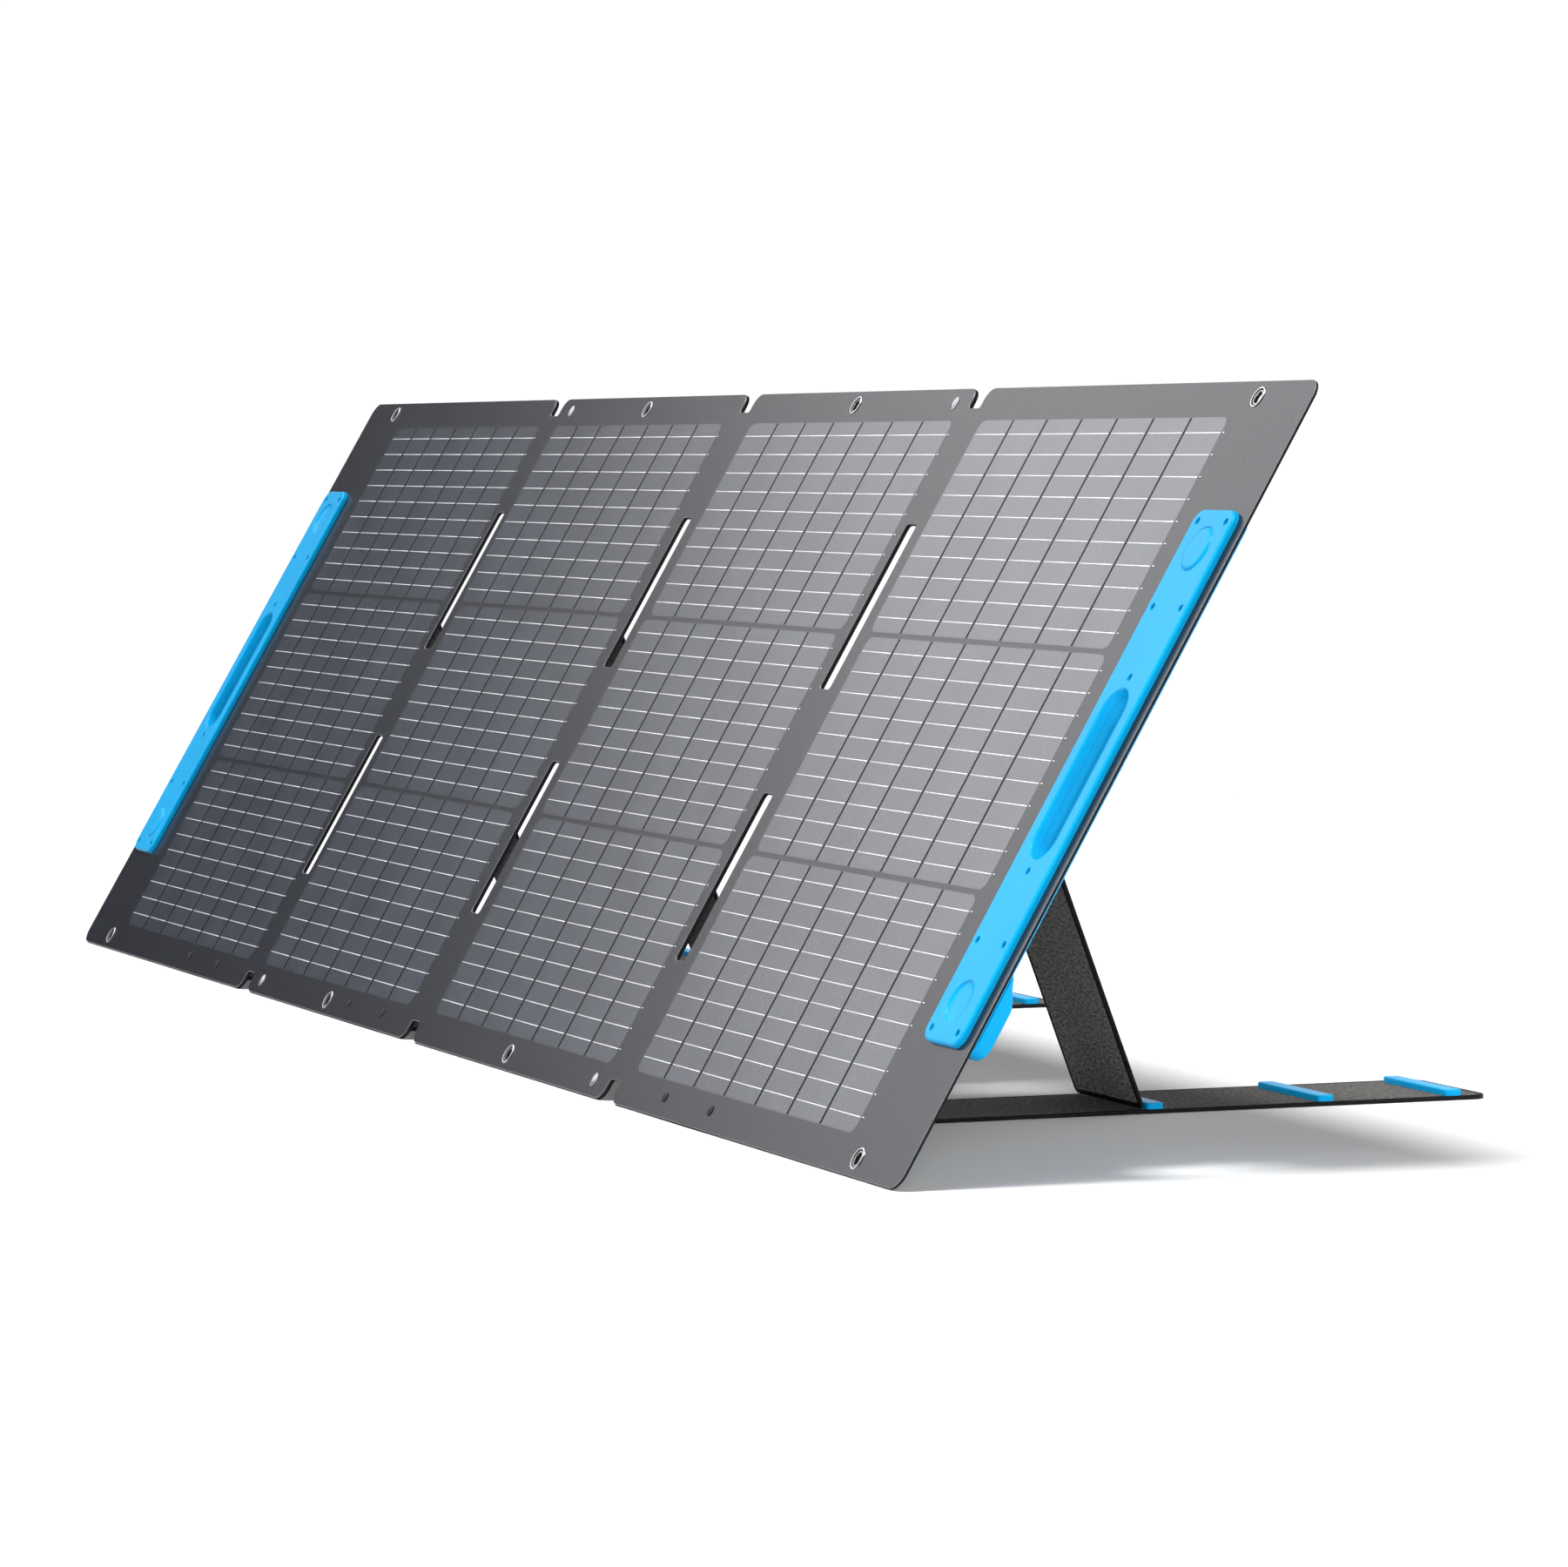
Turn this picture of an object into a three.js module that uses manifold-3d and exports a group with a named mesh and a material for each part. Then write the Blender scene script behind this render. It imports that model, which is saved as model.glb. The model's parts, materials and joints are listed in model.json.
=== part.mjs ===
// Portable folding solar panel: four hinged leaves on three fold-out stands, open at 60 degrees.
// Millimetres, +Z up. Origin: on the ground, at the middle of the footprint. +X runs along the leaves,
// and the cells face -Y. The leaves are drawn flat in their own plane (u along X, v up the leaf, w out
// of the front, w = 0 on the back face) and the whole plane is then tilted.

import * as THREE from 'three';
import { mergeVertices } from 'three/addons/utils/BufferGeometryUtils.js';
import Module from 'manifold-3d';

const wasm = await Module();
wasm.setup();

// ---- Driving dimensions ----

const TILT = THREE.MathUtils.degToRad(60);

// Leaves
const LEAF_HEIGHT = 614;
const LEAF_MIDDLE = LEAF_HEIGHT / 2;
const INNER_WIDTH = 490;
const OUTER_WIDTH = 570;
const FOLD_GAP = 1;
const OUTER_CORNER_RADIUS = 13;
const NOTCH_HALF_WIDTH = 11;
const NOTCH_DEPTH = 17.5;
const SLOT_HALF_WIDTH = 10;
const SLOT_LENGTH = 143;
const SLOT_OFFSET = 116.5;

// Layers of a leaf, from the back face to the front face
const BACK_COVER = { from: 0, to: 0.6 };
const STIFFENER = { from: 0.75, to: 1.35, inset: 3 };
const CELL_LAYER = { from: 1.5, to: 1.75 };
const LAMINATE = { from: 1.9, to: 2.4 };
const FRONT_FACE = LAMINATE.to;
const LAYER_GAP = 0.15;

// Solar cells: three rows of seven strips, joined by flat ribbons
const CELL_PITCH = 62;
const CELL_WIDTH = 60.5;
const CELL_HEIGHT = 183;
const ROW_PITCH = 187.1;
const CELLS_PER_ROW = 7;
const ROW_SHIFT = [1.8, -2.8, 1.5];
const RIBBON_WIDTH = 1.5;
const RIBBON_THICKNESS = 0.12;
const RIBBON_LAP = 1;
const TURN_WIDTH = 8;

// Eyelets and rivet caps
const EYELET_INSET = 13;
const EYELET_FROM_OUTER_EDGE = 83;
const EYELET_HOLE_RADIUS = 4.3;
const EYELET_FLANGE_RADIUS = 8.25;
const EYELET_CLEARANCE_RADIUS = 5.8;
const EYELET_WALL = 0.4;
const EYELET_RIM = 0.6;
const EYELET_CHAMFER = 0.5;
const CAP_FROM_MIDDLE = 447;
const CAP_RADIUS = 5.6;
const CAP_HEIGHT = 1.4;
const CAP_RIM = 0.4;
const CAP_CROWN_RADIUS = 3.9;
const CAP_CROWN = 1.2;

// Handles
const HANDLE_LENGTH = 408;
const HANDLE_WIDTH = 62.5;
const HANDLE_CORNER_RADIUS = 11;
const HANDLE_FROM_OUTER_EDGE = 43;
const FRONT_SHELL_HEIGHT = 4.6;
const REAR_SHELL_HEIGHT = 6.4;
const SHELL_BEVEL = 1.6;
const GRIP_WIDTH = 35;
const GRIP_LENGTH = 129;
const GRIP_CLEARANCE = 5;
const COLLAR_WALL = 2;
const LIP_HEIGHT = 3.1;
const LIP_WALL = 2.5;
const LIP_SPREAD = 4;
const SCREW_RADIUS = 2.4;
const SCREW_DEPTH = 2.6;
const SCREW_PLACES = [
  [22, 194.5],
  [22, 128],
  [-22, 194.5],
  [-22, 128],
  [0, 74],
];
const DISC_OFFSET = 173;
const DISC_RADIUS = 15.5;
const DISC_RAISE = 0.9;
const DISC_SINK = 1.4;
const MAGNET_RADIUS = 11;
const MAGNET_THICKNESS = 1.2;
const MAGNET_GAP = 0.3;

// Stands
const STAND_WIDTH = 118;
const STAND_FROM_OUTER_FOLD = 157.5;
const MIDDLE_STAND_FROM_FOLD = 138.5;
const BOARD_THICKNESS = 3;
const STRIP_START = 5;
const STRIP_END = 626;
const STRIP_TIP_RADIUS = 14;
const LEG_HINGE_HEIGHT = 409;
const LEG_HINGE_BEHIND = 0.4;
const LEG_START = 2;
const LEG_LENGTH = 375;
const LEG_CORNER_RADIUS = 5;
const LEG_CLEARANCE = 0.6;
const BAR_PLACES = [350.5, 490, 596.5];
const BAR_SHIFT = 5.5;
const BAR_LENGTH = 105;
const BAR_WIDTH = 13.5;
const BAR_HEIGHT = 4.6;
const BAR_BEVEL = 1.2;
const BAR_CORNER_RADIUS = 4;
const TAB_HEIGHT = 20;
const TAB_THICKNESS = 0.8;

// Junction box, behind the lower end of the right handle
const BOX_LENGTH = 68;
const BOX_WIDTH = 60;
const BOX_WALL = 2.2;
const BOX_FLOOR = 1.6;
const BOX_BASE_DEPTH = 8.4;
const BOX_COVER_DEPTH = 3;
const BOX_CORNER_RADIUS = 12;
const BOARD_SIZE = [44, 50, 1.6];
const BOARD_SHIFT = -3;
const SOCKET_RADIUS = 3;
const SOCKET_LENGTH = 16;
const SOCKET_INSIDE = 5;
const SOCKET_FLOOR = 6;
const SOCKET_WALL = 1;
const SEAL_RADIUS = 4.6;
const SEAL_THICKNESS = 2;
const PART_GAP = 0.3;

// Reach of a cut past the surface it opens, and size of the block that cuts a whole side off
const OVERCUT = 1;
const CUT_SIZE = 1000;

// Smoothness of round shapes
const CORNER_STEPS = 3;
const STRIP_STEPS = 6;
const LEG_STEPS = 2;
const ROUND_STEPS = 12;

const MATERIALS = {
  laminate: material(0x4a4b50, 0.55, 0),
  cells: material(0x2c2f3a, 0.35, 0.2),
  stiffener: material(0x1c1c1e, 0.7, 0),
  cover: material(0x232324, 0.9, 0),
  handle: material(0x1fa5f0, 0.4, 0),
  magnet: material(0x9a9a9c, 0.3, 0.9),
  nickel: material(0xc9c9cc, 0.25, 1),
  board: material(0x37342f, 0.95, 0),
  circuit: material(0x1d6b3a, 0.5, 0),
  rubber: material(0x111111, 0.8, 0),
};

// The leaves from left to right. shift turns the sideways stagger of the cell rows over.
const LEAVES = [
  { name: 'leaf_1', from: -INNER_WIDTH - OUTER_WIDTH, to: -INNER_WIDTH, cells: -947, shift: 1 },
  { name: 'leaf_2', from: -INNER_WIDTH, to: 0, cells: -466, shift: -1 },
  { name: 'leaf_3', from: 0, to: INNER_WIDTH, cells: 29, shift: 1 },
  { name: 'leaf_4', from: INNER_WIDTH, to: INNER_WIDTH + OUTER_WIDTH, cells: 518, shift: -1 },
];

const HANDLE_PLACE = INNER_WIDTH + OUTER_WIDTH - HANDLE_FROM_OUTER_EDGE;
const STAND_PLACES = [
  { leaf: 'leaf_1', u: -INNER_WIDTH - STAND_FROM_OUTER_FOLD },
  { leaf: 'leaf_2', u: -MIDDLE_STAND_FROM_FOLD },
  { leaf: 'leaf_4', u: INNER_WIDTH + STAND_FROM_OUTER_FOLD },
];

// ---- Helpers ----

function material(color, roughness, metalness) {
  return new THREE.MeshStandardMaterial({ color, roughness, metalness });
}

function named(name, geometry, look) {
  const mesh = new THREE.Mesh(geometry, look);
  mesh.name = name;
  return mesh;
}

function solid(geometry) {
  const bare = geometry.index ? geometry.toNonIndexed() : geometry.clone();
  bare.deleteAttribute('normal');
  bare.deleteAttribute('uv');
  const merged = mergeVertices(bare, 1e-4);
  return new wasm.Manifold(new wasm.Mesh({
    numProp: 3,
    vertProperties: Float32Array.from(merged.attributes.position.array),
    triVerts: Uint32Array.from(merged.index.array),
  }));
}

function surface(manifold) {
  const mesh = manifold.getMesh();
  const geometry = new THREE.BufferGeometry();
  geometry.setAttribute('position', new THREE.BufferAttribute(mesh.vertProperties, 3));
  geometry.setIndex(new THREE.BufferAttribute(mesh.triVerts, 1));
  return geometry;
}

function roundedRect(width, height, radius) {
  const x = width / 2 - radius;
  const y = height / 2 - radius;
  const shape = new THREE.Shape();
  shape.absarc(x, y, radius, 0, Math.PI / 2);
  shape.absarc(-x, y, radius, Math.PI / 2, Math.PI);
  shape.absarc(-x, -y, radius, Math.PI, Math.PI * 1.5);
  shape.absarc(x, -y, radius, Math.PI * 1.5, Math.PI * 2);
  return shape;
}

function stadium(width, length) {
  return roundedRect(width, length, width / 2 - 0.5);
}

function circle(x, y, radius) {
  const path = new THREE.Path();
  path.absarc(x, y, radius, 0, Math.PI * 2);
  return path;
}

function slab(shape, from, to, curveSegments = CORNER_STEPS) {
  const settings = { depth: to - from, bevelEnabled: false, curveSegments };
  return new THREE.ExtrudeGeometry(shape, settings).translate(0, 0, from);
}

// A slab from w = 0 to w = height whose far rim is bevelled. Its near rim is bevelled too, below zero,
// and is cut off.
function bevelledSlab(shape, height, bevel, spread = bevel) {
  const geometry = new THREE.ExtrudeGeometry(shape, {
    depth: height - bevel,
    bevelThickness: bevel,
    bevelSize: spread,
    bevelOffset: -spread,
    bevelSegments: 1,
    curveSegments: CORNER_STEPS,
  });
  return solid(geometry).subtract(solid(box(CUT_SIZE, CUT_SIZE, -CUT_SIZE, 0)));
}

function disc(radius, from, to, x = 0, y = 0) {
  const geometry = new THREE.CylinderGeometry(radius, radius, to - from, ROUND_STEPS);
  return geometry.rotateX(Math.PI / 2).translate(x, y, (from + to) / 2);
}

// A turned piece about w, from a profile of [radius, height] pairs.
function turned(profile) {
  const points = profile.map(([radius, height]) => new THREE.Vector2(radius, height));
  return new THREE.LatheGeometry(points, ROUND_STEPS).rotateX(Math.PI / 2);
}

function box(width, height, from, to, x = 0, y = 0) {
  return new THREE.BoxGeometry(width, height, to - from).translate(x, y, (from + to) / 2);
}

// ---- Leaves ----

// One side of a leaf from the bottom to its middle, as [inset from the side, height] pairs.
function lowerSide(isFold) {
  const inset = isFold ? NOTCH_HALF_WIDTH : 0;
  const radius = isFold ? NOTCH_HALF_WIDTH : OUTER_CORNER_RADIUS;
  const points = [];
  for (let step = 0; step <= CORNER_STEPS; step += 1) {
    const angle = (Math.PI / 2) * (step / CORNER_STEPS);
    points.push([inset + radius * (1 - Math.sin(angle)), radius * (1 - Math.cos(angle))]);
  }
  if (isFold) {
    const slotLow = LEAF_MIDDLE - SLOT_OFFSET - SLOT_LENGTH / 2;
    const slotHigh = slotLow + SLOT_LENGTH;
    points.push([NOTCH_HALF_WIDTH, NOTCH_DEPTH], [0, NOTCH_DEPTH]);
    points.push([0, slotLow], [SLOT_HALF_WIDTH, slotLow], [SLOT_HALF_WIDTH, slotHigh], [0, slotHigh]);
  }
  return points;
}

function wholeSide(isFold) {
  const lower = lowerSide(isFold);
  const upper = lower.map(([inset, height]) => [inset, LEAF_HEIGHT - height]).reverse();
  return lower.concat(upper);
}

function eyeletPlace(leaf) {
  if (leaf.name === 'leaf_1') return leaf.from + EYELET_FROM_OUTER_EDGE;
  if (leaf.name === 'leaf_4') return leaf.to - EYELET_FROM_OUTER_EDGE;
  return (leaf.from + leaf.to) / 2;
}

function handlePlace(leaf) {
  if (leaf.name === 'leaf_1') return -HANDLE_PLACE;
  if (leaf.name === 'leaf_4') return HANDLE_PLACE;
  return null;
}

// The outline of one leaf, drawn in a little by inset, with its eyelet holes and its grip hole.
function leafShape(leaf, inset) {
  const foldLeft = leaf.name !== 'leaf_1';
  const foldRight = leaf.name !== 'leaf_4';
  const left = leaf.from + (foldLeft ? FOLD_GAP / 2 : 0) + inset;
  const right = leaf.to - (foldRight ? FOLD_GAP / 2 : 0) - inset;
  const point = (x, y) => new THREE.Vector2(x, y);
  const squeeze = (height) => LEAF_MIDDLE + (height - LEAF_MIDDLE) * (1 - inset / LEAF_MIDDLE);
  const rightSide = wholeSide(foldRight).map(([step, height]) => point(right - step, squeeze(height)));
  const leftSide = wholeSide(foldLeft).map(([step, height]) => point(left + step, squeeze(height)));
  const shape = new THREE.Shape(rightSide.concat(leftSide.reverse()));
  for (const height of [EYELET_INSET, LEAF_HEIGHT - EYELET_INSET]) {
    shape.holes.push(circle(eyeletPlace(leaf), height, EYELET_CLEARANCE_RADIUS));
  }
  const handle = handlePlace(leaf);
  if (handle !== null) {
    const hole = stadium(GRIP_WIDTH + GRIP_CLEARANCE, GRIP_LENGTH + GRIP_CLEARANCE);
    const placed = hole.getPoints(CORNER_STEPS).map(({ x, y }) => point(x + handle, y + LEAF_MIDDLE));
    shape.holes.push(new THREE.Path(placed));
  }
  return shape;
}

function cellMatrix(leaf) {
  const { from, to } = CELL_LAYER;
  const middle = (from + to) / 2;
  const ribbonFrom = middle - RIBBON_THICKNESS / 2;
  const ribbonTo = middle + RIBBON_THICKNESS / 2;
  const rowHeight = (row) => LEAF_MIDDLE + (1 - row) * ROW_PITCH;
  const rowStart = (row) => leaf.cells + ROW_SHIFT[row] * leaf.shift;
  let matrix = null;
  const join = (geometry) => {
    matrix = matrix ? matrix.add(solid(geometry)) : solid(geometry);
  };
  for (let row = 0; row < ROW_SHIFT.length; row += 1) {
    for (let column = 0; column < CELLS_PER_ROW; column += 1) {
      const u = rowStart(row) + (column + 0.5) * CELL_PITCH;
      join(box(CELL_WIDTH, CELL_HEIGHT, from, to, u, rowHeight(row)));
      if (column === 0) continue;
      const width = CELL_PITCH - CELL_WIDTH + 2 * RIBBON_LAP;
      join(box(width, RIBBON_WIDTH, ribbonFrom, ribbonTo, u - CELL_PITCH / 2, rowHeight(row)));
    }
  }
  // The string turns back at the right end of the first row and at the left end of the second.
  for (const [row, column] of [[0, CELLS_PER_ROW - 0.5], [1, 0.5]]) {
    const u = leaf.cells + column * CELL_PITCH;
    const height = ROW_PITCH - CELL_HEIGHT + 2 * RIBBON_LAP;
    join(box(TURN_WIDTH, height, ribbonFrom, ribbonTo, u, rowHeight(row) - ROW_PITCH / 2));
  }
  return surface(matrix);
}

function eyelet() {
  const front = FRONT_FACE + LAYER_GAP;
  const back = -LAYER_GAP;
  const barrel = EYELET_HOLE_RADIUS + EYELET_WALL;
  const crown = EYELET_FLANGE_RADIUS - EYELET_CHAMFER;
  return turned([
    [EYELET_HOLE_RADIUS, back - EYELET_RIM],
    [crown, back - EYELET_RIM],
    [EYELET_FLANGE_RADIUS, back],
    [barrel, back],
    [barrel, front],
    [EYELET_FLANGE_RADIUS, front],
    [crown, front + EYELET_RIM],
    [EYELET_HOLE_RADIUS, front + EYELET_RIM],
    [EYELET_HOLE_RADIUS, back - EYELET_RIM],
  ]);
}

function rivetCap() {
  const base = FRONT_FACE + LAYER_GAP;
  return turned([
    [0, base],
    [CAP_RADIUS, base],
    [CAP_RADIUS, base + CAP_RIM],
    [CAP_CROWN_RADIUS, base + CAP_CROWN],
    [0, base + CAP_HEIGHT],
  ]);
}

function addLeaf(plane, leaf) {
  const layer = (place, inset) => slab(leafShape(leaf, inset), place.from, place.to);
  plane.add(named(`${leaf.name}_back_cover`, layer(BACK_COVER, 0), MATERIALS.cover));
  plane.add(named(`${leaf.name}_stiffener`, layer(STIFFENER, STIFFENER.inset), MATERIALS.stiffener));
  plane.add(named(`${leaf.name}_cells`, cellMatrix(leaf), MATERIALS.cells));
  plane.add(named(`${leaf.name}_front_laminate`, layer(LAMINATE, 0), MATERIALS.laminate));
  for (const [end, height] of [['top', LEAF_HEIGHT - EYELET_INSET], ['bottom', EYELET_INSET]]) {
    const ring = named(`${leaf.name}_eyelet_${end}`, eyelet(), MATERIALS.nickel);
    ring.position.set(eyeletPlace(leaf), height, 0);
    plane.add(ring);
  }
}

function addRivetCaps(plane) {
  for (const [leaf, side] of [['leaf_2', -1], ['leaf_3', 1]]) {
    for (const [end, height] of [['top', LEAF_HEIGHT - EYELET_INSET], ['bottom', EYELET_INSET]]) {
      const cap = named(`${leaf}_rivet_cap_${end}`, rivetCap(), MATERIALS.nickel);
      cap.position.set(side * CAP_FROM_MIDDLE, height, 0);
      plane.add(cap);
    }
  }
}

// ---- Handles ----

function handleOutline() {
  return roundedRect(HANDLE_WIDTH, HANDLE_LENGTH, HANDLE_CORNER_RADIUS);
}

function withGripHole(shape) {
  shape.holes.push(new THREE.Path(stadium(GRIP_WIDTH, GRIP_LENGTH).getPoints(CORNER_STEPS)));
  return shape;
}

// A stadium round the grip hole, wider than the hole by wall on every side.
function gripRim(wall) {
  return stadium(GRIP_WIDTH + 2 * wall, GRIP_LENGTH + 2 * wall);
}

// The front shell, with a collar that lines the leaf's grip hole. Its raised disc is at one end and
// its sunk disc at the other, so that the two handles key into each other when the panel is folded.
function frontShell(raisedEnd) {
  const height = FRONT_SHELL_HEIGHT;
  const top = height + OVERCUT;
  const collar = solid(slab(withGripHole(gripRim(COLLAR_WALL)), -FRONT_FACE, OVERCUT));
  const boss = disc(DISC_RADIUS, height - OVERCUT, height + DISC_RAISE, 0, raisedEnd * DISC_OFFSET);
  let shell = bevelledSlab(withGripHole(handleOutline()), height, SHELL_BEVEL);
  shell = shell.add(collar).add(solid(boss));
  const cuts = [disc(DISC_RADIUS, height - DISC_SINK, top, 0, -raisedEnd * DISC_OFFSET)];
  const pocket = MAGNET_THICKNESS + 2 * MAGNET_GAP;
  for (const end of [-1, 1]) {
    cuts.push(disc(MAGNET_RADIUS + MAGNET_GAP, -OVERCUT, pocket, 0, end * DISC_OFFSET));
    for (const [x, y] of SCREW_PLACES) {
      cuts.push(disc(SCREW_RADIUS, height - SCREW_DEPTH, top, x, end * y));
    }
  }
  for (const cut of cuts) shell = shell.subtract(solid(cut));
  return surface(shell);
}

// The rear shell, with a lip round the grip hole for the fingers.
function rearShell() {
  const lipHeight = REAR_SHELL_HEIGHT + LIP_HEIGHT;
  const lip = bevelledSlab(gripRim(LIP_WALL + LIP_SPREAD), lipHeight, LIP_HEIGHT, LIP_SPREAD);
  const hole = slab(stadium(GRIP_WIDTH, GRIP_LENGTH), -OVERCUT, lipHeight + OVERCUT);
  const plate = bevelledSlab(handleOutline(), REAR_SHELL_HEIGHT, SHELL_BEVEL);
  return surface(plate.add(lip).subtract(solid(hole)));
}

function addHandle(plane, side, place, raisedEnd) {
  const front = named(`handle_${side}_front_shell`, frontShell(raisedEnd), MATERIALS.handle);
  front.position.set(place, LEAF_MIDDLE, FRONT_FACE + LAYER_GAP);
  const rear = named(`handle_${side}_rear_shell`, rearShell(), MATERIALS.handle);
  rear.rotation.y = Math.PI;
  rear.position.set(place, LEAF_MIDDLE, -LAYER_GAP);
  plane.add(front, rear);
  for (const [end, direction] of [['top', 1], ['bottom', -1]]) {
    const magnet = named(
      `handle_${side}_magnet_${end}`,
      disc(MAGNET_RADIUS, MAGNET_GAP, MAGNET_GAP + MAGNET_THICKNESS),
      MATERIALS.magnet,
    );
    magnet.position.set(place, LEAF_MIDDLE + direction * DISC_OFFSET, FRONT_FACE + LAYER_GAP);
    plane.add(magnet);
  }
}

// ---- Junction box ----

function boxOutline(wall) {
  return roundedRect(BOX_WIDTH - 2 * wall, BOX_LENGTH - 2 * wall, BOX_CORNER_RADIUS - wall);
}

// A rod along u in the side wall of the box, from u = start.
function sideRod(radius, length, start) {
  const rod = new THREE.CylinderGeometry(radius, radius, length, ROUND_STEPS).rotateZ(Math.PI / 2);
  return solid(rod.translate(start + length / 2, 0, (BOX_FLOOR + BOX_BASE_DEPTH) / 2));
}

function boxBase() {
  const room = solid(slab(boxOutline(BOX_WALL), BOX_FLOOR, BOX_BASE_DEPTH + OVERCUT));
  const length = BOX_WALL + 2 * OVERCUT;
  const hole = sideRod(SOCKET_RADIUS + PART_GAP, length, BOX_WIDTH / 2 + OVERCUT - length);
  return surface(solid(slab(boxOutline(0), 0, BOX_BASE_DEPTH)).subtract(room).subtract(hole));
}

function outletSocket() {
  const start = BOX_WIDTH / 2 - BOX_WALL - SOCKET_INSIDE;
  const bore = sideRod(SOCKET_RADIUS - SOCKET_WALL, SOCKET_LENGTH, start + SOCKET_FLOOR);
  return surface(sideRod(SOCKET_RADIUS, SOCKET_LENGTH, start).subtract(bore));
}

function outletSeal() {
  const start = BOX_WIDTH / 2 + PART_GAP;
  const hole = sideRod(SOCKET_RADIUS + PART_GAP, SEAL_THICKNESS + 2 * OVERCUT, start - OVERCUT);
  return surface(sideRod(SEAL_RADIUS, SEAL_THICKNESS, start).subtract(hole));
}

// The box is drawn with its floor at zero and opens away from the panel.
function addJunctionBox(plane) {
  const housing = new THREE.Group();
  housing.rotation.y = Math.PI;
  const bottom = LEAF_MIDDLE - HANDLE_LENGTH / 2;
  housing.position.set(HANDLE_PLACE, bottom + BOX_LENGTH / 2, -LAYER_GAP - REAR_SHELL_HEIGHT - PART_GAP);

  const cover = bevelledSlab(boxOutline(0), BOX_COVER_DEPTH, SHELL_BEVEL);
  const coverMesh = named('junction_box_cover', surface(cover), MATERIALS.handle);
  coverMesh.position.z = BOX_BASE_DEPTH + PART_GAP;
  const [boardWidth, boardLength, boardThickness] = BOARD_SIZE;
  const circuit = box(boardWidth, boardLength, 0, boardThickness);
  const circuitMesh = named('junction_circuit_board', circuit, MATERIALS.circuit);
  circuitMesh.position.set(BOARD_SHIFT, 0, BOX_FLOOR + PART_GAP);
  housing.add(
    named('junction_box_base', boxBase(), MATERIALS.handle),
    coverMesh,
    circuitMesh,
    named('outlet_socket', outletSocket(), MATERIALS.rubber),
    named('outlet_seal', outletSeal(), MATERIALS.rubber),
  );
  plane.add(housing);
}

// ---- Stands ----

function stripGeometry() {
  const half = STAND_WIDTH / 2;
  const shape = new THREE.Shape();
  shape.moveTo(-half, STRIP_START);
  shape.lineTo(half, STRIP_START);
  const tip = STRIP_END - STRIP_TIP_RADIUS;
  shape.absarc(half - STRIP_TIP_RADIUS, tip, STRIP_TIP_RADIUS, 0, Math.PI / 2);
  shape.absarc(STRIP_TIP_RADIUS - half, tip, STRIP_TIP_RADIUS, Math.PI / 2, Math.PI);
  return slab(shape, 0, BOARD_THICKNESS, STRIP_STEPS);
}

function barGeometry() {
  const shape = roundedRect(BAR_LENGTH, BAR_WIDTH, BAR_CORNER_RADIUS);
  return surface(bevelledSlab(shape, BAR_HEIGHT, BAR_BEVEL));
}

// The leg hangs down its own -Y from the hinge, with its leaf side at zero.
function legGeometry() {
  const length = LEG_LENGTH - LEG_START;
  const shape = roundedRect(STAND_WIDTH, length, LEG_CORNER_RADIUS);
  return slab(shape, -BOARD_THICKNESS, 0, LEG_STEPS).translate(0, -LEG_START - length / 2, 0);
}

// The angle of the open leg from the ground plane's +Y, turned about X, with its foot on the strip.
function legAngle() {
  const hingeHeight = LEG_HINGE_HEIGHT * Math.sin(TILT) - LEG_HINGE_BEHIND * Math.cos(TILT);
  const footHeight = BOARD_THICKNESS + LEG_CLEARANCE;
  return Math.PI - Math.asin((hingeHeight - footHeight) / LEG_LENGTH);
}

function addStand(ground, plane, { leaf, u }) {
  const strip = named(`${leaf}_stand_strip`, stripGeometry(), MATERIALS.board);
  strip.position.set(u, 0, 0);
  ground.add(strip);
  BAR_PLACES.forEach((place, index) => {
    const bar = named(`${leaf}_stand_bar_${index + 1}`, barGeometry(), MATERIALS.handle);
    bar.position.set(u + BAR_SHIFT, place, BOARD_THICKNESS + LAYER_GAP);
    ground.add(bar);
  });

  const leg = named(`${leaf}_stand_leg`, legGeometry(), MATERIALS.board);
  leg.position.set(u, LEG_HINGE_HEIGHT, -LEG_HINGE_BEHIND);
  leg.rotation.x = legAngle() - TILT;
  const tab = box(STAND_WIDTH, TAB_HEIGHT, -TAB_THICKNESS - LAYER_GAP, -LAYER_GAP);
  tab.translate(u, LEG_HINGE_HEIGHT + LEG_START + TAB_HEIGHT / 2, 0);
  plane.add(leg, named(`${leaf}_stand_hinge_tab`, tab, MATERIALS.board));
}

// ---- Assembly ----

const panel = new THREE.Group();
const frontEdge = -FRONT_FACE * Math.sin(TILT);
panel.position.y = -(STRIP_END + frontEdge) / 2;

const plane = new THREE.Group();
plane.rotation.x = TILT;
panel.add(plane);

for (const leaf of LEAVES) addLeaf(plane, leaf);
addRivetCaps(plane);
addHandle(plane, 'left', -HANDLE_PLACE, -1);
addHandle(plane, 'right', HANDLE_PLACE, 1);
addJunctionBox(plane);
for (const place of STAND_PLACES) addStand(panel, plane, place);

export default panel;
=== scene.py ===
# Portable folding solar panel: the visual model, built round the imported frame.
# Leaf coordinates are millimetres in the plane of the leaves: u along the row of leaves from its middle,
# v up the leaf from its bottom edge, w out of the front, with w = 0 on the back face.

import json
import math

import bpy
import bmesh
from mathutils import Matrix, Vector
from mathutils.geometry import tessellate_polygon


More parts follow.
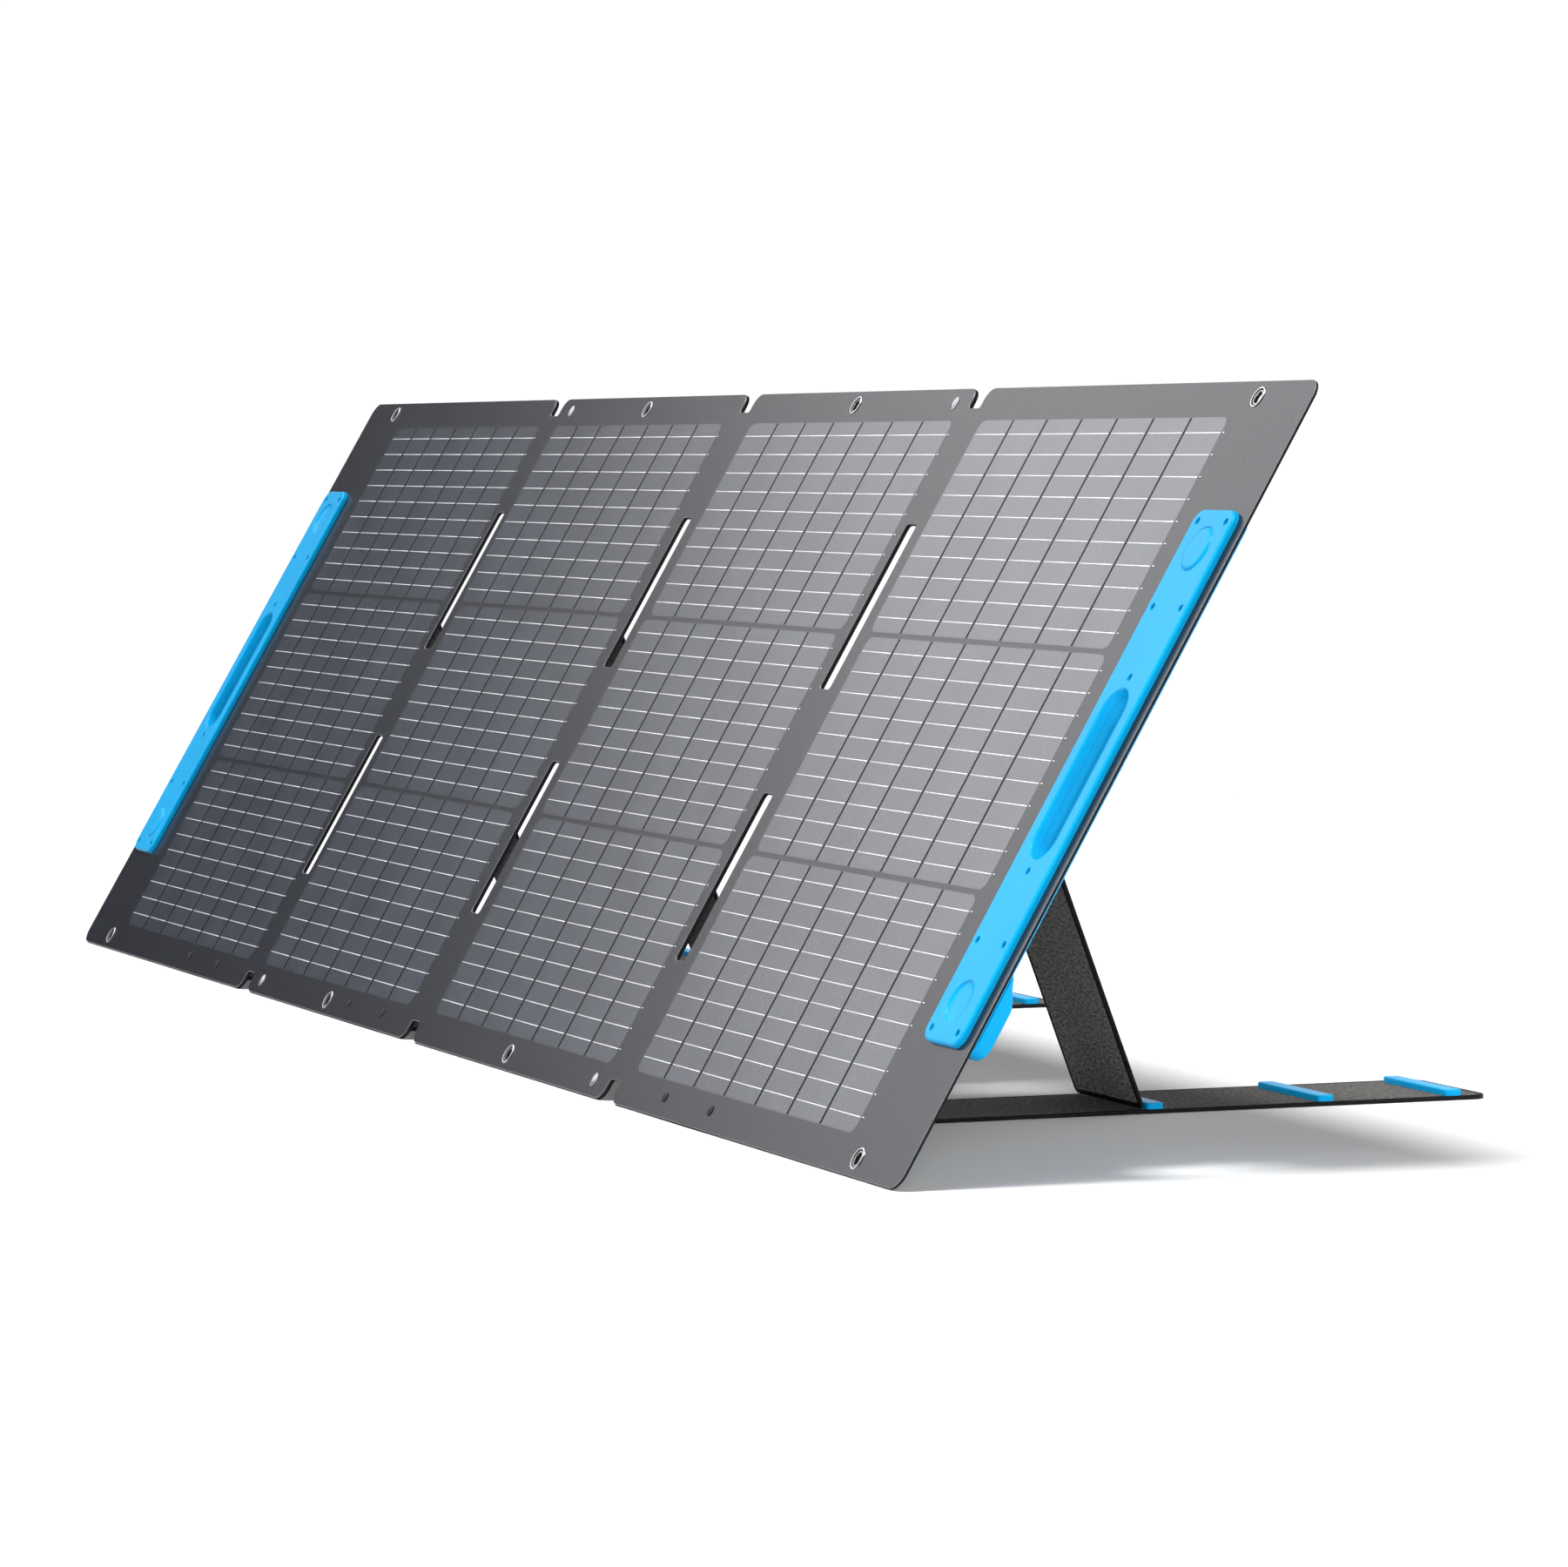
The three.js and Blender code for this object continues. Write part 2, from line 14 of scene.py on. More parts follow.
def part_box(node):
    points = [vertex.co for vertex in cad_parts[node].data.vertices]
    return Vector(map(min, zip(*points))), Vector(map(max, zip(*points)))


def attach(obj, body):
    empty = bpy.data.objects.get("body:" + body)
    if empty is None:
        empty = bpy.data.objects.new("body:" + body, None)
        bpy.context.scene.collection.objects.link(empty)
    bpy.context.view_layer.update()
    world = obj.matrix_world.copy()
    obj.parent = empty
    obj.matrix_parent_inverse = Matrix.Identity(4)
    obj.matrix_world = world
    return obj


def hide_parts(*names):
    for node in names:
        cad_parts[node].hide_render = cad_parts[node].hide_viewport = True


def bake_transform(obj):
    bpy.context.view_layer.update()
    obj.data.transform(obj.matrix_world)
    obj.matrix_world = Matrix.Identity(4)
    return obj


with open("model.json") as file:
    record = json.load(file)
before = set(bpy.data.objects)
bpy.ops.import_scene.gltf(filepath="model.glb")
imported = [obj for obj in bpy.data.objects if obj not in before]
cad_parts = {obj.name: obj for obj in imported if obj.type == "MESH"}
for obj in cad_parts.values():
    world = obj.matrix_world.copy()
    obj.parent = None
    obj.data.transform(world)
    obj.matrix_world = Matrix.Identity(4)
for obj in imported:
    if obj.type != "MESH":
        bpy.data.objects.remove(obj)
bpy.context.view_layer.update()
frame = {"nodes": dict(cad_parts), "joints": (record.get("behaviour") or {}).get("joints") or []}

MM = 0.001

# ---- Sizes read from the frame ----

fold_joint = next(joint for joint in frame["joints"] if joint["name"] == "fold_2_3")
TILT = math.atan2(fold_joint["axis"][2], fold_joint["axis"][1])
leaf_low, leaf_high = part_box("leaf_2_back_cover")
LEAF_HEIGHT = round((leaf_high - leaf_low).z / math.sin(TILT) / MM)
MIDDLE = LEAF_HEIGHT / 2
OUTER_EDGE = round(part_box("leaf_4_back_cover")[1].x / MM)
OUTER_FOLD = round(leaf_low.x / MM)
STRIP_START = 5.0
GROUND_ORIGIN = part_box("leaf_2_stand_strip")[0].y / MM - STRIP_START
PLANE = Matrix.Translation((0, GROUND_ORIGIN * MM, 0)) @ Matrix.Rotation(TILT, 4, "X")
GROUND = Matrix.Translation((0, GROUND_ORIGIN * MM, 0))

# ---- Driving dimensions ----

THICKNESS = 2.4
BAND_HALF = 24.0
NOTCH_HALF = 11.0
NOTCH_DEPTH = 17.5
SLOT_HALF = 10.0
SLOT_LENGTH = 143.0
SLOT_OFFSET = 116.5
SLOT_CORNER = 3.5
CORNER_RADIUS = 13.0
SQUARE_CORNER = 0.001
# Where the soft sheet over a fold is cut so that it can bend, from the fold line.
BAND_CUTS = (*range(-22, 23, 2), -3, -1, 1, 3)

CELL_PITCH = 62.0
CELL_WIDTH = 59.0
CELL_HEIGHT = 183.0
ROW_PITCH = 187.1
CELLS_PER_ROW = 7
ROW_SHIFT = (1.8, -2.8, 1.5)
CELL_CORNER = 2.2
CELL_END_CORNER = 8.0
# A cell's rings from its rim inwards: inset, height over the skin, and how much of the cell shows.
CELL_RINGS = ((0.0, -0.05, 0.0), (0.1, 0.07, 0.2), (0.8, 0.072, 0.85), (1.8, 0.074, 1.0))
# The dark strip in a gap is this much wider than the gap.
GAP_OVERLAP = 0.4
RIBBONS_PER_CELL = 10
RIBBON_PITCH = 17.55
RIBBON_WIDTH = 0.64
RIBBON_BREAK = 5.6
RIBBON_OVERHANG = 1.5
# Taken off a radius of half the width, so that the two points at a round end stay apart.
ROUND_END = 0.01

EYELET_INSET = 13.0
EYELET_HOLE = 5.0
EYELET_FROM_EDGE = 83.0
CAP_FROM_MIDDLE = 447.0

HANDLE_WIDTH = 62.5
HANDLE_LENGTH = 408.0
HANDLE_CORNER = 11.0
HANDLE_PLACE = OUTER_EDGE - 43.0
FRONT_SHELL = 4.6
REAR_SHELL = 6.4
GRIP_WIDTH = 35.0
GRIP_LENGTH = 129.0
GRIP_CLEARANCE = 5.0
COLLAR_WALL = 1.9
LAYER_GAP = 0.15
SHELL_GAP = 0.02
DISC_OFFSET = 173.0
SCREW_PLACES = ((22, 194.5), (22, 128), (-22, 194.5), (-22, 128), (0, 74))

BOX_LENGTH = 68.0
BOX_WIDTH = 60.0
BOX_DEPTH = 11.7
BOX_FLOOR = -LAYER_GAP - REAR_SHELL - 0.3
BOX_CORNER = 13.0
BOX_PARTING = 8.4
BOX_SEAM = 0.05
BOX_WALL = 2.2
BOX_SLOPE = 20.0
# The tray's floor inside: how far it is drawn in at the upper end, and its height.
BOX_FLOOR_SLOPE = 8.0
BOX_FLOOR_HEIGHT = 1.6
# The cover is drawn in this much more per millimetre of height, and its rim is this much wider than deep.
COVER_SLOPE = 2.2
COVER_RIM = 1.6

STAND_WIDTH = 118.0
STRIP_END = 626.0
STRIP_CORNER = 14.0
BOARD = 3.0
LEG_HINGE = 409.0
LEG_BEHIND = 0.4
LEG_LENGTH = 375.0
LEG_START = 2.0
LEG_CLEARANCE = 0.6
BAR_PLACES = (350.5, 490.0, 596.5)
BAR_SHIFT = 5.5
BAR_LENGTH = 105.0
BAR_WIDTH = 13.5
BAR_HEIGHT = 4.6
FIXING_SPREAD = 47.0
FIXING_HEIGHT = 15.5
HINGE_CLOTH = 0.7 * MM

STANDS = {"leaf_1": OUTER_FOLD - 157.5, "leaf_2": -138.5, "leaf_4": -OUTER_FOLD + 157.5}
LEAVES = {
    "leaf_1": {"from": -OUTER_EDGE, "to": OUTER_FOLD, "cells": -947.0, "shift": 1},
    "leaf_2": {"from": OUTER_FOLD, "to": 0.0, "cells": -466.0, "shift": -1},
    "leaf_3": {"from": 0.0, "to": -OUTER_FOLD, "cells": 29.0, "shift": 1},
    "leaf_4": {"from": -OUTER_FOLD, "to": OUTER_EDGE, "cells": 518.0, "shift": -1},
}
# Each fold: its bodies, its place and how far from the fold line the sheet still bends.
FOLDS = (
    ("leaf_1", "leaf_2", OUTER_FOLD, 5.0),
    ("leaf_2", "leaf_3", 0.0, 16.0),
    ("leaf_3", "leaf_4", -OUTER_FOLD, 5.0),
)


# ---- Mesh helpers ----

def arc(centre, radius, start, end, steps):
    """Points on an arc, angles in degrees."""
    points = []
    for step in range(steps + 1):
        angle = math.radians(start + (end - start) * step / steps)
        points.append((centre[0] + radius * math.cos(angle), centre[1] + radius * math.sin(angle)))
    return points


def rounded_rect(width, height, radius, steps, centre=(0.0, 0.0)):
    """A rounded rectangle, counter-clockwise. radius is one number or four, from the top right round."""
    radii = radius if isinstance(radius, tuple) else (radius,) * 4
    corners = ((1, 1, 0), (-1, 1, 90), (-1, -1, 180), (1, -1, 270))
    points = []
    for (side_x, side_y, start), size in zip(corners, radii):
        x = centre[0] + side_x * (width / 2 - size)
        y = centre[1] + side_y * (height / 2 - size)
        points += arc((x, y), size, start, start + 90, steps)
    return points


def circle(centre, radius, steps=32):
    return arc(centre, radius, 0, 360, steps)[:-1]


def without_doubles(points):
    """The loop without points that lie on the one before, to 0.02 mm."""
    kept = []
    for index, point in enumerate(points):
        if math.dist(point, points[index - 1]) > 0.02:
            kept.append(point)
    return kept


def inset_loop(points, distance, seam=None):
    """The loop moved into the material by distance. seam(a, b) says that an edge stays where it is."""
    count = len(points)
    moved = []
    edges = []
    for index in range(count):
        a = points[index]
        b = points[(index + 1) % count]
        length = math.hypot(b[0] - a[0], b[1] - a[1])
        normal = (-(b[1] - a[1]) / length, (b[0] - a[0]) / length)
        step = 0.0 if seam and seam(a, b) else distance
        edges.append((normal, step))
    for index in range(count):
        (n1, d1), (n2, d2) = edges[index - 1], edges[index]
        cross = n1[0] * n2[1] - n1[1] * n2[0]
        if abs(cross) < 1e-3:
            step = (d1 + d2) / 2
            shift = (n1[0] * step, n1[1] * step)
        else:
            shift = ((d1 * n2[1] - d2 * n1[1]) / cross, (n1[0] * d2 - n2[0] * d1) / cross)
        moved.append((points[index][0] + shift[0], points[index][1] + shift[1]))
    return moved


def fillet(height, radius, steps, start=0.0):
    """Profile of a plain side with a rounded far rim, as (inset, height) pairs."""
    profile = [(0.0, start)]
    for step in range(steps + 1):
        angle = math.pi / 2 * step / steps
        profile.append((radius * (1 - math.cos(angle)), height - radius + radius * math.sin(angle)))
    return profile


class Builder:
    """Collects vertices in leaf or ground millimetres, then makes one object of them."""

    def __init__(self):
        self.points = []
        self.faces = []
        self.slots = []
        self.fade = {}

    def loop(self, points, height):
        start = len(self.points)
        self.points += [(x, y, height) for x, y in points]
        return list(range(start, len(self.points)))

    def face(self, indices, slot=0):
        self.faces.append(indices)
        self.slots.append(slot)

    def wall(self, low, high, slot=0):
        count = len(low)
        for index in range(count):
            following = (index + 1) % count
            self.face([low[index], low[following], high[following], high[index]], slot)

    def cap(self, loops, slot, flip=False):
        polygons = [[Vector(self.points[index]) for index in loop] for loop in loops]
        order = [index for loop in loops for index in loop]
        for triangle in tessellate_polygon(polygons):
            indices = [order[corner] for corner in triangle]
            a, b, c = (Vector(self.points[index]) for index in indices)
            if ((b - a).cross(c - a).z < 0) != flip:
                indices.reverse()
            self.face(indices, slot)

    def plate(self, outer, profile, holes=(), hole_insets=None, features=(), seam=None, slots=None):
        """A closed plate. profile runs from the bottom cap to the top cap as (inset, height) pairs.
        holes are clockwise loops right through, with insets of their own or the profile's. features are
        (centre, [(radius, height), ...]) on the top cap, ending in a cap of their own. slots are the
        slots of bottom cap, walls and top cap."""
        bottom_slot, wall_slots, top_slot = slots or (0, [0] * (len(profile) - 1), 0)
        outer = without_doubles(outer)
        holes = [without_doubles(hole) for hole in holes]
        if hole_insets is None:
            hole_insets = [inset for inset, _ in profile]
        rings = []
        for (inset, height), hole_inset in zip(profile, hole_insets):
            ring = [self.loop(inset_loop(outer, inset, seam), height)]
            ring += [self.loop(inset_loop(hole, hole_inset, seam), height) for hole in holes]
            rings.append(ring)
        for step in range(len(profile) - 1):
            for low, high in zip(rings[step], rings[step + 1]):
                self.wall(low, high, wall_slots[step])
        self.cap(rings[0], bottom_slot, flip=True)
        tops = list(rings[-1])
        for centre, steps in features:
            tops.append(self.feature(centre, steps, profile[-1][1], top_slot))
        self.cap(tops, top_slot)

    def feature(self, centre, steps, surface, slot):
        """A round recess or boss on the top cap. Returns its rim, clockwise, for the cap's hole."""
        rim = None
        previous = None
        for radius, height in steps:
            ring = self.loop(circle(centre, radius, 28), height + surface)
            if previous is None:
                rim = ring
            else:
                self.wall(previous, ring, slot)
            previous = ring
        self.face(previous, slot)
        return rim[::-1]

    def lathe(self, centre, profile, steps, slot=0):
        """A turned surface about w. profile is (radius, height) pairs."""
        rings = []
        for radius, height in profile:
            if radius < 1e-6:
                self.points.append((centre[0], centre[1], height))
                rings.append([len(self.points) - 1])
            else:
                rings.append(self.loop(circle(centre, radius, steps), height))
        for low, high in zip(rings, rings[1:]):
            if len(low) == 1:
                for index in range(steps):
                    self.face([low[0], high[(index + 1) % steps], high[index]], slot)
            elif len(high) == 1:
                for index in range(steps):
                    self.face([low[index], low[(index + 1) % steps], high[0]], slot)
            else:
                self.wall(low, high, slot)

    def box(self, centre, size, low, high, slot):
        half = (size[0] / 2, size[1] / 2)
        corners = ((-1, -1), (1, -1), (1, 1), (-1, 1))
        loop = [(centre[0] + x * half[0], centre[1] + y * half[1]) for x, y in corners]
        bottom = self.loop(loop, low)
        top = self.loop(loop, high)
        self.wall(bottom, top, slot)
        self.face(bottom[::-1], slot)
        self.face(top, slot)

    def finish(self, name, matrix, materials, sharp=35.0, weighted=True):
        """Makes the object. Its leaf coordinates stay in the attribute leaf_place, for the materials."""
        mesh = bpy.data.meshes.new(name)
        mesh.from_pydata([Vector(point) * MM for point in self.points], [], self.faces)
        for index, polygon in enumerate(mesh.polygons):
            polygon.material_index = self.slots[index]
            polygon.use_smooth = True
        for look in materials:
            mesh.materials.append(look)
        place = mesh.attributes.new("leaf_place", "FLOAT_VECTOR", "POINT")
        place.data.foreach_set("vector", [value * MM for point in self.points for value in point])
        if self.fade:
            fade = mesh.attributes.new("fade", "FLOAT", "POINT")
            fade.data.foreach_set("value", [self.fade.get(index, 0.0) for index in range(len(self.points))])
        tidy_mesh(mesh)
        mesh.set_sharp_from_angle(angle=math.radians(sharp))
        mesh.transform(matrix)
        piece = bpy.data.objects.new(name, mesh)
        bpy.context.scene.collection.objects.link(piece)
        if weighted:
            modifier = piece.modifiers.new("weighted", "WEIGHTED_NORMAL")
            modifier.keep_sharp = True
            modifier.weight = 90
        return piece


def tidy_mesh(mesh):
    """Merges doubled points and turns every face outwards."""
    work = bmesh.new()
    work.from_mesh(mesh)
    bmesh.ops.remove_doubles(work, verts=work.verts, dist=1e-7)
    bmesh.ops.recalc_face_normals(work, faces=work.faces)
    work.to_mesh(mesh)
    work.free()


def cut_across(mesh, places):
    """Cuts the mesh's faces along planes across the row of leaves, so that it can bend there."""
    work = bmesh.new()
    work.from_mesh(mesh)
    for place in places:
        geometry = list(work.verts) + list(work.edges) + list(work.faces)
        cut = (place * MM, 0, 0)
        bmesh.ops.bisect_plane(work, geom=geometry, plane_co=cut, plane_no=(1, 0, 0), dist=1e-7)
    work.to_mesh(mesh)
    work.free()


# ---- Materials ----

def new_material(name, color, roughness, metallic=0.0, **sockets):
    look = bpy.data.materials.new(name)
    look.use_nodes = True
    shader = look.node_tree.nodes["Principled BSDF"]
    shader.inputs["Base Color"].default_value = (*color, 1)
    shader.inputs["Roughness"].default_value = roughness
    shader.inputs["Metallic"].default_value = metallic
    for socket, value in sockets.items():
        shader.inputs[socket.replace("_", " ")].default_value = value
    return look, look.node_tree, shader


def node(tree, kind, inputs=None, **settings):
    made = tree.nodes.new(kind)
    for key, value in settings.items():
        setattr(made, key, value)
    for key, value in (inputs or {}).items():
        if isinstance(value, bpy.types.NodeSocket):
            tree.links.new(value, made.inputs[key])
        else:
            made.inputs[key].default_value = value
    return made


def math_node(tree, operation, first, second=0.0, third=0.0):
    return node(tree, "ShaderNodeMath", {0: first, 1: second, 2: third}, operation=operation).outputs[0]


def smooth_step(tree, value, low, high):
    settings = {"Value": value, "From Min": low, "From Max": high}
    return node(tree, "ShaderNodeMapRange", settings, interpolation_type="SMOOTHSTEP").outputs[0]


def ramp(tree, factor, low, high, low_color, high_color):
    """A smooth change between two colours over a range of factor."""
    share = smooth_step(tree, factor, low, high)
    mix = node(tree, "ShaderNodeMix", {"Factor": share}, data_type="RGBA")
    mix.inputs[6].default_value = (*low_color, 1)
    mix.inputs[7].default_value = (*high_color, 1)
    return mix.outputs[2]


def bump(tree, shader, height, strength, distance):
    made = node(tree, "ShaderNodeBump", {"Height": height, "Strength": strength, "Distance": distance})
    tree.links.new(made.outputs[0], shader.inputs["Normal"])


def place_vector(tree):
    return node(tree, "ShaderNodeAttribute", attribute_name="leaf_place").outputs["Vector"]


def object_vector(tree):
    return node(tree, "ShaderNodeTexCoord").outputs["Object"]


def twill(tree, vector, pitch, slope=1.0):
    """Height of a fine twill: slanted ribs broken across into threads, 0 to 1."""
    parts = node(tree, "ShaderNodeSeparateXYZ", {0: vector})
    turn = 2 * math.pi / pitch
    across = math_node(tree, "MULTIPLY", parts.outputs[0], turn)
    along = math_node(tree, "MULTIPLY", parts.outputs[1], turn * slope)
    rib = math_node(tree, "SINE", math_node(tree, "ADD", across, along))
    crossing = math_node(tree, "SUBTRACT", along, across)
    thread = math_node(tree, "SINE", math_node(tree, "MULTIPLY", crossing, 0.5))
    return math_node(tree, "MULTIPLY_ADD", rib, 0.35, math_node(tree, "MULTIPLY_ADD", thread, 0.15, 0.5))


def noise(tree, vector, scale, detail=3.0, roughness=0.5):
    return node(
        tree, "ShaderNodeTexNoise",
        {"Vector": vector, "Scale": scale, "Detail": detail, "Roughness": roughness},
    ).outputs[0]


SKIN_PITCH = 0.0024


def skin_material():
    """The embossed grey front skin of the margins and folds."""
    look, tree, shader = new_material("front_skin", (0.022, 0.023, 0.028), 0.32)
    vector = place_vector(tree)
    weave = twill(tree, vector, SKIN_PITCH)
    blotch = noise(tree, vector, 9.0)
    tone = math_node(tree, "MULTIPLY_ADD", weave, 0.8, math_node(tree, "MULTIPLY", blotch, 0.2))
    color = ramp(tree, tone, 0.15, 0.85, (0.003, 0.0045, 0.008), (0.024, 0.027, 0.037))
    tree.links.new(color, shader.inputs["Base Color"])
    rough = math_node(tree, "MULTIPLY_ADD", weave, -0.08, 0.25)
    tree.links.new(rough, shader.inputs["Roughness"])
    shader.inputs["Specular IOR Level"].default_value = 0.19
    bump(tree, shader, weave, 0.5, 0.00004)
    return look


def cell_material():
    """Silicon seen through the embossed skin: bluer and brighter, fading out at each cell's edge."""
    look, tree, shader = new_material("cell_skin", (0.05, 0.055, 0.07), 0.3)
    vector = place_vector(tree)
    weave = twill(tree, vector, SKIN_PITCH)
    fade = node(tree, "ShaderNodeAttribute", attribute_name="fade").outputs["Fac"]
    blotch = noise(tree, vector, 14.0)
    tone = math_node(tree, "MULTIPLY_ADD", weave, 0.5, math_node(tree, "MULTIPLY", blotch, 0.5))
    bright = ramp(tree, tone, 0.2, 0.8, (0.014, 0.018, 0.030), (0.056, 0.063, 0.086))
    mix = node(tree, "ShaderNodeMix", {"Factor": fade}, data_type="RGBA")
    mix.inputs[6].default_value = (0.016, 0.017, 0.022, 1)
    tree.links.new(bright, mix.inputs[7])
    tree.links.new(mix.outputs[2], shader.inputs["Base Color"])
    rough = math_node(tree, "MULTIPLY_ADD", weave, -0.08, 0.23)
    tree.links.new(rough, shader.inputs["Roughness"])
    bump(tree, shader, weave, 0.5, 0.00004)
    return look


def ribbon_material():
    look, tree, shader = new_material("ribbon_silver", (0.8, 0.8, 0.82), 0.35, 0.6)
    vector = place_vector(tree)
    grain = noise(tree, vector, 900.0, 2.0)
    color = ramp(tree, grain, 0.3, 0.7, (0.68, 0.68, 0.70), (0.95, 0.95, 0.96))
    tree.links.new(color, shader.inputs["Base Color"])
    bump(tree, shader, grain, 0.3, 0.0001)
    return look


def back_material():
    """Black woven cloth of the back and the edges."""
    look, tree, shader = new_material("back_cloth", (0.02, 0.02, 0.021), 0.85)
    shader.inputs["Sheen Weight"].default_value = 0.25
    shader.inputs["Sheen Roughness"].default_value = 0.5
    vector = place_vector(tree)
    weave = twill(tree, vector, 0.0017, -1.0)
    blotch = noise(tree, vector, 30.0)
    tone = math_node(tree, "MULTIPLY_ADD", weave, 0.6, math_node(tree, "MULTIPLY", blotch, 0.4))
    color = ramp(tree, tone, 0.2, 0.8, (0.011, 0.011, 0.012), (0.034, 0.034, 0.036))
    tree.links.new(color, shader.inputs["Base Color"])
    bump(tree, shader, weave, 0.6, 0.0003)
    return look


def edge_material():
    look, tree, shader = new_material("black_binding", (0.012, 0.012, 0.012), 0.55)
    vector = place_vector(tree)
    grain = noise(tree, vector, 700.0, 2.0)
    color = ramp(tree, grain, 0.3, 0.7, (0.004, 0.004, 0.004), (0.014, 0.014, 0.015))
    tree.links.new(color, shader.inputs["Base Color"])
    shader.inputs["Specular IOR Level"].default_value = 0.12
    bump(tree, shader, grain, 0.35, 0.0002)
    return look


def stand_material(name, dark, light):
    """Coarse dark cloth of the stands: crinkled threads with pale flecks."""
    look, tree, shader = new_material(name, light, 0.9)
    shader.inputs["Specular IOR Level"].default_value = 0.25
    vector = place_vector(tree)
    stretched = node(tree, "ShaderNodeMapping", {"Vector": vector, "Scale": (0.6, 1.6, 1.0)}).outputs[0]
    coarse = noise(tree, stretched, 330.0, 4.0, 0.7)
    fine = noise(tree, vector, 900.0, 2.0)
    height = math_node(tree, "MULTIPLY_ADD", coarse, 0.75, math_node(tree, "MULTIPLY", fine, 0.25))
    color = ramp(tree, height, 0.36, 0.64, dark, light)
    tree.links.new(color, shader.inputs["Base Color"])
    bump(tree, shader, height, 0.8, 0.0012)
    return look


def plastic_material():
    """Sky-blue moulded plastic with a faint mould texture."""
    look, tree, shader = new_material("blue_plastic", (0.007, 0.41, 0.88), 0.42)
    shader.inputs["Specular IOR Level"].default_value = 0.07
    vector = object_vector(tree)
    grain = noise(tree, vector, 1800.0, 2.0)
    cloud = noise(tree, vector, 12.0)
    color = ramp(tree, cloud, 0.3, 0.7, (0.003, 0.35, 0.70), (0.004, 0.38, 0.76))
    tree.links.new(color, shader.inputs["Base Color"])
    rough = math_node(tree, "MULTIPLY_ADD", grain, 0.1, 0.26)
    tree.links.new(rough, shader.inputs["Roughness"])
    bump(tree, shader, grain, 0.12, 0.0001)
    return look


def metal_material(name, color, roughness, scale):
    look, tree, shader = new_material(name, color, roughness, 1.0)
    vector = object_vector(tree)
    wear = noise(tree, vector, scale)
    rough = math_node(tree, "MULTIPLY_ADD", wear, 0.2, roughness - 0.1)
    tree.links.new(rough, shader.inputs["Roughness"])
    bump(tree, shader, wear, 0.08, 0.0001)
    return look


def small_material(name, color, roughness, scale, depth=0.0001, **sockets):
    look, tree, shader = new_material(name, color, roughness, **sockets)
    vector = object_vector(tree)
    grain = noise(tree, vector, scale, 2.0)
    dark = tuple(value * 0.75 for value in color)
    light = tuple(min(1.0, value * 1.25) for value in color)
    tree.links.new(ramp(tree, grain, 0.3, 0.7, dark, light), shader.inputs["Base Color"])
    bump(tree, shader, grain, 0.3, depth)
    return look


SKIN = skin_material()
CELL = cell_material()
RIBBON = ribbon_material()
BACK = back_material()
EDGE = edge_material()
STAND = stand_material("stand_cloth", (0.026, 0.025, 0.024), (0.19, 0.185, 0.175))
# A lighter copy of the stand cloth for the leg's front face: painted light on a face that is in shade.
LEG_CLOTH_PAINTED_LIGHT = stand_material("leg_cloth_painted_light", (0.10, 0.097, 0.093), (0.50, 0.49, 0.47))
PLASTIC = plastic_material()
NICKEL = metal_material("nickel", (0.5, 0.5, 0.51), 0.25, 600.0)
# A darker copy of the nickel for the eyelets' throats: painted shade inside the rings.
NICKEL_PAINTED_SHADE = metal_material("nickel_painted_shade", (0.035, 0.035, 0.038), 0.4, 600.0)
CAP_METAL = metal_material("cap_metal", (0.30, 0.30, 0.31), 0.3, 600.0)
STEEL = metal_material("dark_steel", (0.12, 0.13, 0.15), 0.35, 900.0)
MAGNET = metal_material("magnet_metal", (0.5, 0.5, 0.52), 0.3, 500.0)
CIRCUIT = small_material("circuit_green", (0.02, 0.14, 0.05), 0.45, 500.0)
RUBBER = small_material("black_rubber", (0.007, 0.007, 0.007), 0.4, 900.0, 0.00002, Specular_IOR_Level=0.1)
# A light grey for the front skin's rounded rim: a painted highlight along the edges, slots and holes.
RIM_PAINTED_HIGHLIGHT = small_material("rim_painted_highlight", (0.16, 0.165, 0.18), 0.4, 900.0)
CELL_GAP = small_material("cell_gap", (0.004, 0.0043, 0.006), 0.3, 900.0, 0.000004, Specular_IOR_Level=0.03)
SOLDER = small_material("dark_solder", (0.012, 0.012, 0.015), 0.4, 800.0, 0.00001, Specular_IOR_Level=0.05)


# ---- Leaves ----

def grip_rim(centre, wall):
    """The grip hole's outline, counter-clockwise, made wider by wall on every side."""
    width = GRIP_WIDTH + 2 * wall
    return rounded_rect(width, GRIP_LENGTH + 2 * wall, width / 2 - ROUND_END, 14, centre)


def grip_hole(centre, wall=0.0):
    return grip_rim(centre, wall)[::-1]


def eyelet_place(name):
    leaf = LEAVES[name]
    if name == "leaf_1":
        return leaf["from"] + EYELET_FROM_EDGE
    if name == "leaf_4":
        return leaf["to"] - EYELET_FROM_EDGE
    return (leaf["from"] + leaf["to"]) / 2


def handle_place(name):
    return {"leaf_1": -HANDLE_PLACE, "leaf_4": HANDLE_PLACE}.get(name)


BAND_BACKING = 1.3
SHEET_PROFILE = [(0.4, 0.0), (0.0, 0.4), (0.0, THICKNESS - 0.4), (0.35, THICKNESS)]
# The last wall, the rounded front rim, takes slot 3: a painted highlight.
SHEET_SLOTS = (2, [1, 1, 3], 0)
BAND_PROFILE = [
    (0.4, -BAND_BACKING), (0.0, 0.4 - BAND_BACKING), (0.0, 0.0), (0.0, THICKNESS - 0.4), (0.45, THICKNESS),
]
# The last wall, the rounded front rim, takes slot 3: a painted highlight.
BAND_SLOTS = (2, [1, 1, 1, 3], 0)


